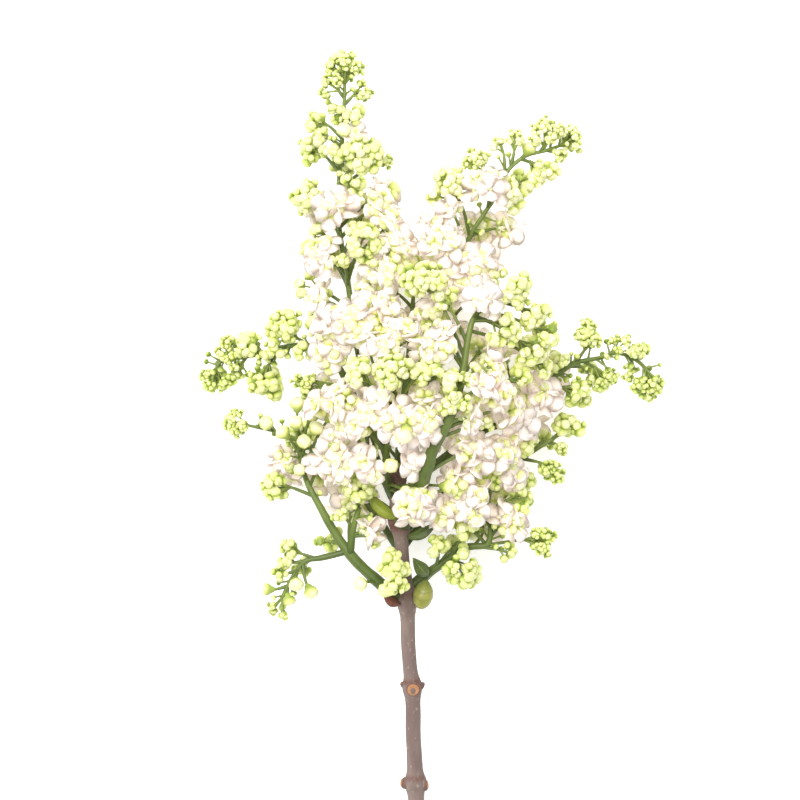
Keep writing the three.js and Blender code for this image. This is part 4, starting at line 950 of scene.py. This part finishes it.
def makeStem():
    shape = bmesh.new()
    layers = {key: shape.verts.layers.float.new(key) for key in ("scar", "collar", "cut", "pith")}
    sides, steps = woodyStem["sides"], woodyStem["steps"]
    path, ways, length = pathThrough(woodyStem["line"], steps)
    rings = []
    for k, (centre, way) in enumerate(zip(path, ways)):
        side = way.cross(zAxis).normalized()
        over = side.cross(way).normalized()
        radius = woodyStem["radius"] - woodyStem["taper"] * k / steps + hill(centre.y, woodyStem["nodes"])
        collar = min(1, hill(centre.y, woodyStem["collars"]))
        rings.append([])
        for n in range(sides):
            angle = 2 * math.pi * n / sides
            out = side * math.cos(angle) + over * math.sin(angle)
            rough = 0
            for around, along, height in woodyStem["rough"]:
                rough += noise.noise(Vector((out.x * around, centre.y * along, out.z * around))) * height
            vertex = shape.verts.new(place(centre + out * (radius + rough)))
            vertex[layers["collar"]] = min(1, collar * (0.9 + 0.4 * noise.noise(centre + out * 3)))
            rings[-1].append(vertex)
    shape.faces.new(rings[0][::-1])
    end, middle = rings[-1], place(path[-1])
    for shrink, rise in woodyStem["dome"]:
        top = place(path[-1] + ways[-1] * rise)
        rings.append([shape.verts.new(top + (v.co - middle) * shrink) for v in end])
        for vertex in rings[-1]:
            vertex[layers["collar"]] = 0.6
    for face in [*ringFaces(rings), rings[-1]]:
        shape.faces.new(face)
    bmesh.ops.recalc_face_normals(shape, faces=shape.faces)
    cutStem(shape, layers)
    for mark in scars:
        addScar(shape, layers, mark)
    for vertex in shape.verts:
        vertex.co.z = max(vertex.co.z, 0.00003)  # the heel of the cut rests on the table
    bmesh.ops.triangulate(shape, faces=[f for f in shape.faces if len(f.verts) > 4])
    mesh = bpy.data.meshes.new("woodyStemBark")
    shape.to_mesh(mesh)
    shape.free()
    mesh.shade_smooth()
    newPiece("woodyStemBark", mesh, "bark", "woody_stem", bark)


def cutStem(shape, layers):  # a slanting cut that shows pale wood and pith
    normal = Vector(woodyStem["cutFacing"]).normalized()
    onCut = place(Vector(woodyStem["cutAt"]) + normal * woodyStem["cutDepth"])
    everything = shape.verts[:] + shape.edges[:] + shape.faces[:]
    cut = bmesh.ops.bisect_plane(shape, geom=everything, plane_co=onCut, plane_no=normal, clear_inner=True)
    rim = [e for e in cut["geom_cut"] if isinstance(e, bmesh.types.BMEdge)]
    faces = bmesh.ops.contextual_create(shape, geom=rim)["faces"]
    middle = sum((v.co for v in faces[0].verts), Vector()) / len(faces[0].verts)
    reach = max((v.co - middle).length for v in faces[0].verts)
    for depth in woodyStem["cutRings"]:
        bmesh.ops.inset_region(shape, faces=faces, thickness=depth, use_even_offset=False)
        for vertex in faces[0].verts:
            vertex[layers["cut"]] = 1.0
            vertex[layers["pith"]] = (vertex.co - middle).length / reach
            vertex[layers["collar"]] = 0.0
    bmesh.ops.poke(shape, faces=faces)


def addScar(shape, layers, mark):
    turn = turnedTo(mark["facing"])
    base, end = mark["radii"]
    rings = []
    for k, (tall, baseShare, endShare, dark, tan) in enumerate(scarRings[mark["face"]]):
        radius = base * baseShare + end * endShare
        rings.append([])
        for n in range(scarSides):
            angle = 2 * math.pi * n / scarSides
            wave = 1 + 0.06 * noise.noise(Vector((math.cos(angle) * 2, math.sin(angle) * 2, k + radius)))
            out = radius * wave
            spot = Vector((out * math.cos(angle), out * math.sin(angle), mark["height"] / 2 * tall))
            vertex = shape.verts.new(place(Vector(mark["at"]) + turn @ spot))
            vertex[layers["scar"]] = tan
            vertex[layers["collar"]] = dark
            rings[-1].append(vertex)
    for face in [*ringFaces(rings), rings[0][::-1], rings[-1]]:
        shape.faces.new(face)


makeStem()
print("lilac: woody stem made")

blades = {  # the leaves, the bract and the bud scale; fold is how far the edges rise
    "bractFork": {
        "node": "bract_fork", "slot": "bract", "material": leafGreen, "age": 0.0,
        "line": [(-20.3, -13.4, 45.7), (-24.5, -11.2, 47.2), (-29.5, -7, 46.8), (-33.5, -1, 45.5)],
        "halfWidth": 3.2, "fold": -0.5,
    },
    "leafFork": {
        "node": "leaf_fork", "slot": "leaf", "material": leafGreen, "age": 1.0,
        "line": [(-14.9, -22.5, 40.8), (-8.5, -20.5, 43.5), (-1.5, -15.5, 44)],
        "halfWidth": 2.6, "fold": 0.35,
    },
    "leafShoot": {
        "node": "leaf_shoot", "slot": "leaf", "material": leafGreen, "age": 1.0,
        "line": [(-6.2, -40.2, 37.2), (-8.8, -37, 41), (-12.7, -31.8, 43.2)],
        "halfWidth": 3.3, "fold": 0.35,
    },
    "scaleLowerLeft": {
        "node": "scale_lower_left", "slot": "bud_scale", "material": scaleBrown, "age": 0.0,
        "line": [(-18.6, -53.6, 36.2), (-23, -51.8, 39.4), (-26.5, -48, 40)],
        "halfWidth": 2.4, "fold": -0.5,
    },
}
bladeShape = {"steps": 18, "across": 8, "thickness": 0.9, "waves": 0.15}


def makeBlade(name, blade):
    steps, count = bladeShape["steps"], bladeShape["across"]
    path, ways, length = pathThrough(blade["line"], steps)
    points, across = [], []
    for sheet in (1, -1):
        for k in range(steps + 1):
            share = k / steps
            side = ways[k].cross(zAxis).normalized()
            up = side.cross(ways[k]).normalized()
            half = blade["halfWidth"] * math.sin(math.pi * (0.04 + 0.93 * share) ** 0.8)
            for n in range(count + 1):
                aside = 2 * n / count - 1
                thick = bladeShape["thickness"] / 2 * math.sqrt(max(0.0, 1 - aside * aside)) * sheet
                fold = blade["fold"] * half * (abs(aside) - 0.5)
                fold += bladeShape["waves"] * half * math.sin(share * 7 + aside * 2)
                points.append(place(path[k] + side * half * aside + up * (thick + fold)))
                across.append(abs(aside))
    row = count + 1
    under = row * (steps + 1)
    faces = []
    for k in range(steps):
        for n in range(count):
            a = k * row + n
            faces.append((a, a + row, a + row + 1, a + 1))
            faces.append((under + a + 1, under + a + row + 1, under + a + row, under + a))
    for n in range(count):  # the narrow ends
        a = under - row + n
        faces += [(n, n + 1, under + n + 1, under + n), (a + 1, a, under + a, under + a + 1)]
    mesh = meshFrom(name, points, faces, {"across": across, "age": [blade["age"]] * len(points)})
    closeMesh(mesh)
    newPiece(name, mesh, blade["slot"], blade["node"], blade["material"])


for name, blade in blades.items():
    makeBlade(name, blade)

shootBud = {  # the fat bud beside the stem, wrapped in pairs of scales that each end in a low step
    "centre": (-8.0, -48.8, 38.5),
    "size": (4.7, 6.9, 4.5),
    "pinch": 0.35,
    "lean": -0.2,
    "pairs": 1.9,
    "step": 0.05,
    "sides": 48,
    "rings": 36,
}


def makeShootBud():
    points, rings, edge, high = [], [], [], []
    sides, last = shootBud["sides"], shootBud["rings"]
    wide, tall, deep = shootBud["size"]
    turn = Quaternion(zAxis, shootBud["lean"])
    for k in range(last + 1):
        y = -math.cos(math.pi * k / last)
        slim = 1 - shootBud["pinch"] * max(0, y) ** 2
        count = sides if 0 < k < last else 1
        rings.append(range(len(points), len(points) + count))
        for n in range(count):
            angle = 2 * math.pi * n / sides
            step = ((y + 1) * shootBud["pairs"] - 0.55 * abs(math.cos(angle))) % 1
            flat = math.sqrt(max(0.0, 1 - y * y)) * slim * (1 - shootBud["step"] * step)
            spot = Vector((flat * math.cos(angle) * wide, y * tall, flat * math.sin(angle) * deep))
            points.append(place(Vector(shootBud["centre"]) + turn @ spot))
            edge.append(max(0.0, 1 - min(step, 1 - step) * 9))
            high.append((y + 1) / 2)
    faces = tubeFaces(rings[1:-1], 0, len(points) - 1)
    mesh = meshFrom("shootBudScales", points, faces, {"edge": edge, "high": high})
    closeMesh(mesh)
    newPiece("shootBudScales", mesh, "bract", "bud_shoot", shootOlive)


makeShootBud()
print("lilac: leaves and buds made")

studio = {
    "middle": (-14.9, 36.3, 45),  # millimetres: what the camera looks straight down on
    "distance": 2.2,
    "viewWidth": 0.368,
    "sensor": 36,
    "worldLight": 0.64,
    "keyAt": (-0.6, 0.9, 2.9),
    "keySize": 2.2,
    "keyPower": 126,
    "tableSize": 6,
    "tableGrey": (0.92, 0.92, 0.92, 1),
    "tableGlow": 0.42,
}
white = (1, 1, 1, 1)
scene = bpy.context.scene

paper = bpy.data.materials.new("palePaper")
paper.use_nodes = True
surface = {"Base Color": studio["tableGrey"], "Roughness": 0.9}
glow = {"Emission Color": white, "Emission Strength": studio["tableGlow"]}
setInputs(paper.node_tree.nodes["Principled BSDF"], {**surface, **glow})
bpy.ops.mesh.primitive_plane_add(size=studio["tableSize"], location=(0, 0, 0))
table = bpy.context.active_object
table.name = "tableTop"
table.data.materials.append(paper)

scene.world = bpy.data.worlds.new("softRoom")
scene.world.use_nodes = True
light = {"Color": white, "Strength": studio["worldLight"]}
setInputs(scene.world.node_tree.nodes["Background"], light)
keyLight = bpy.data.lights.new("keyLight", "AREA")
keyLight.size = studio["keySize"]
keyLight.energy = studio["keyPower"]
keyLamp = bpy.data.objects.new("keyLamp", keyLight)
keyLamp.location = studio["keyAt"]
keyLamp.rotation_euler = (-Vector(studio["keyAt"])).to_track_quat("-Z", "Y").to_euler()
scene.view_settings.view_transform = "Standard"

cameraData = bpy.data.cameras.new("straightAbove")
cameraData.sensor_width = studio["sensor"]
cameraData.lens = studio["sensor"] * studio["distance"] / studio["viewWidth"]
cameraData.clip_end = 20
scene.camera = bpy.data.objects.new("straightAbove", cameraData)
scene.camera.location = Vector(studio["middle"]) * 0.001 + zAxis * studio["distance"]
for each in (keyLamp, scene.camera):
    scene.collection.objects.link(each)
print("lilac: table, light and camera set")
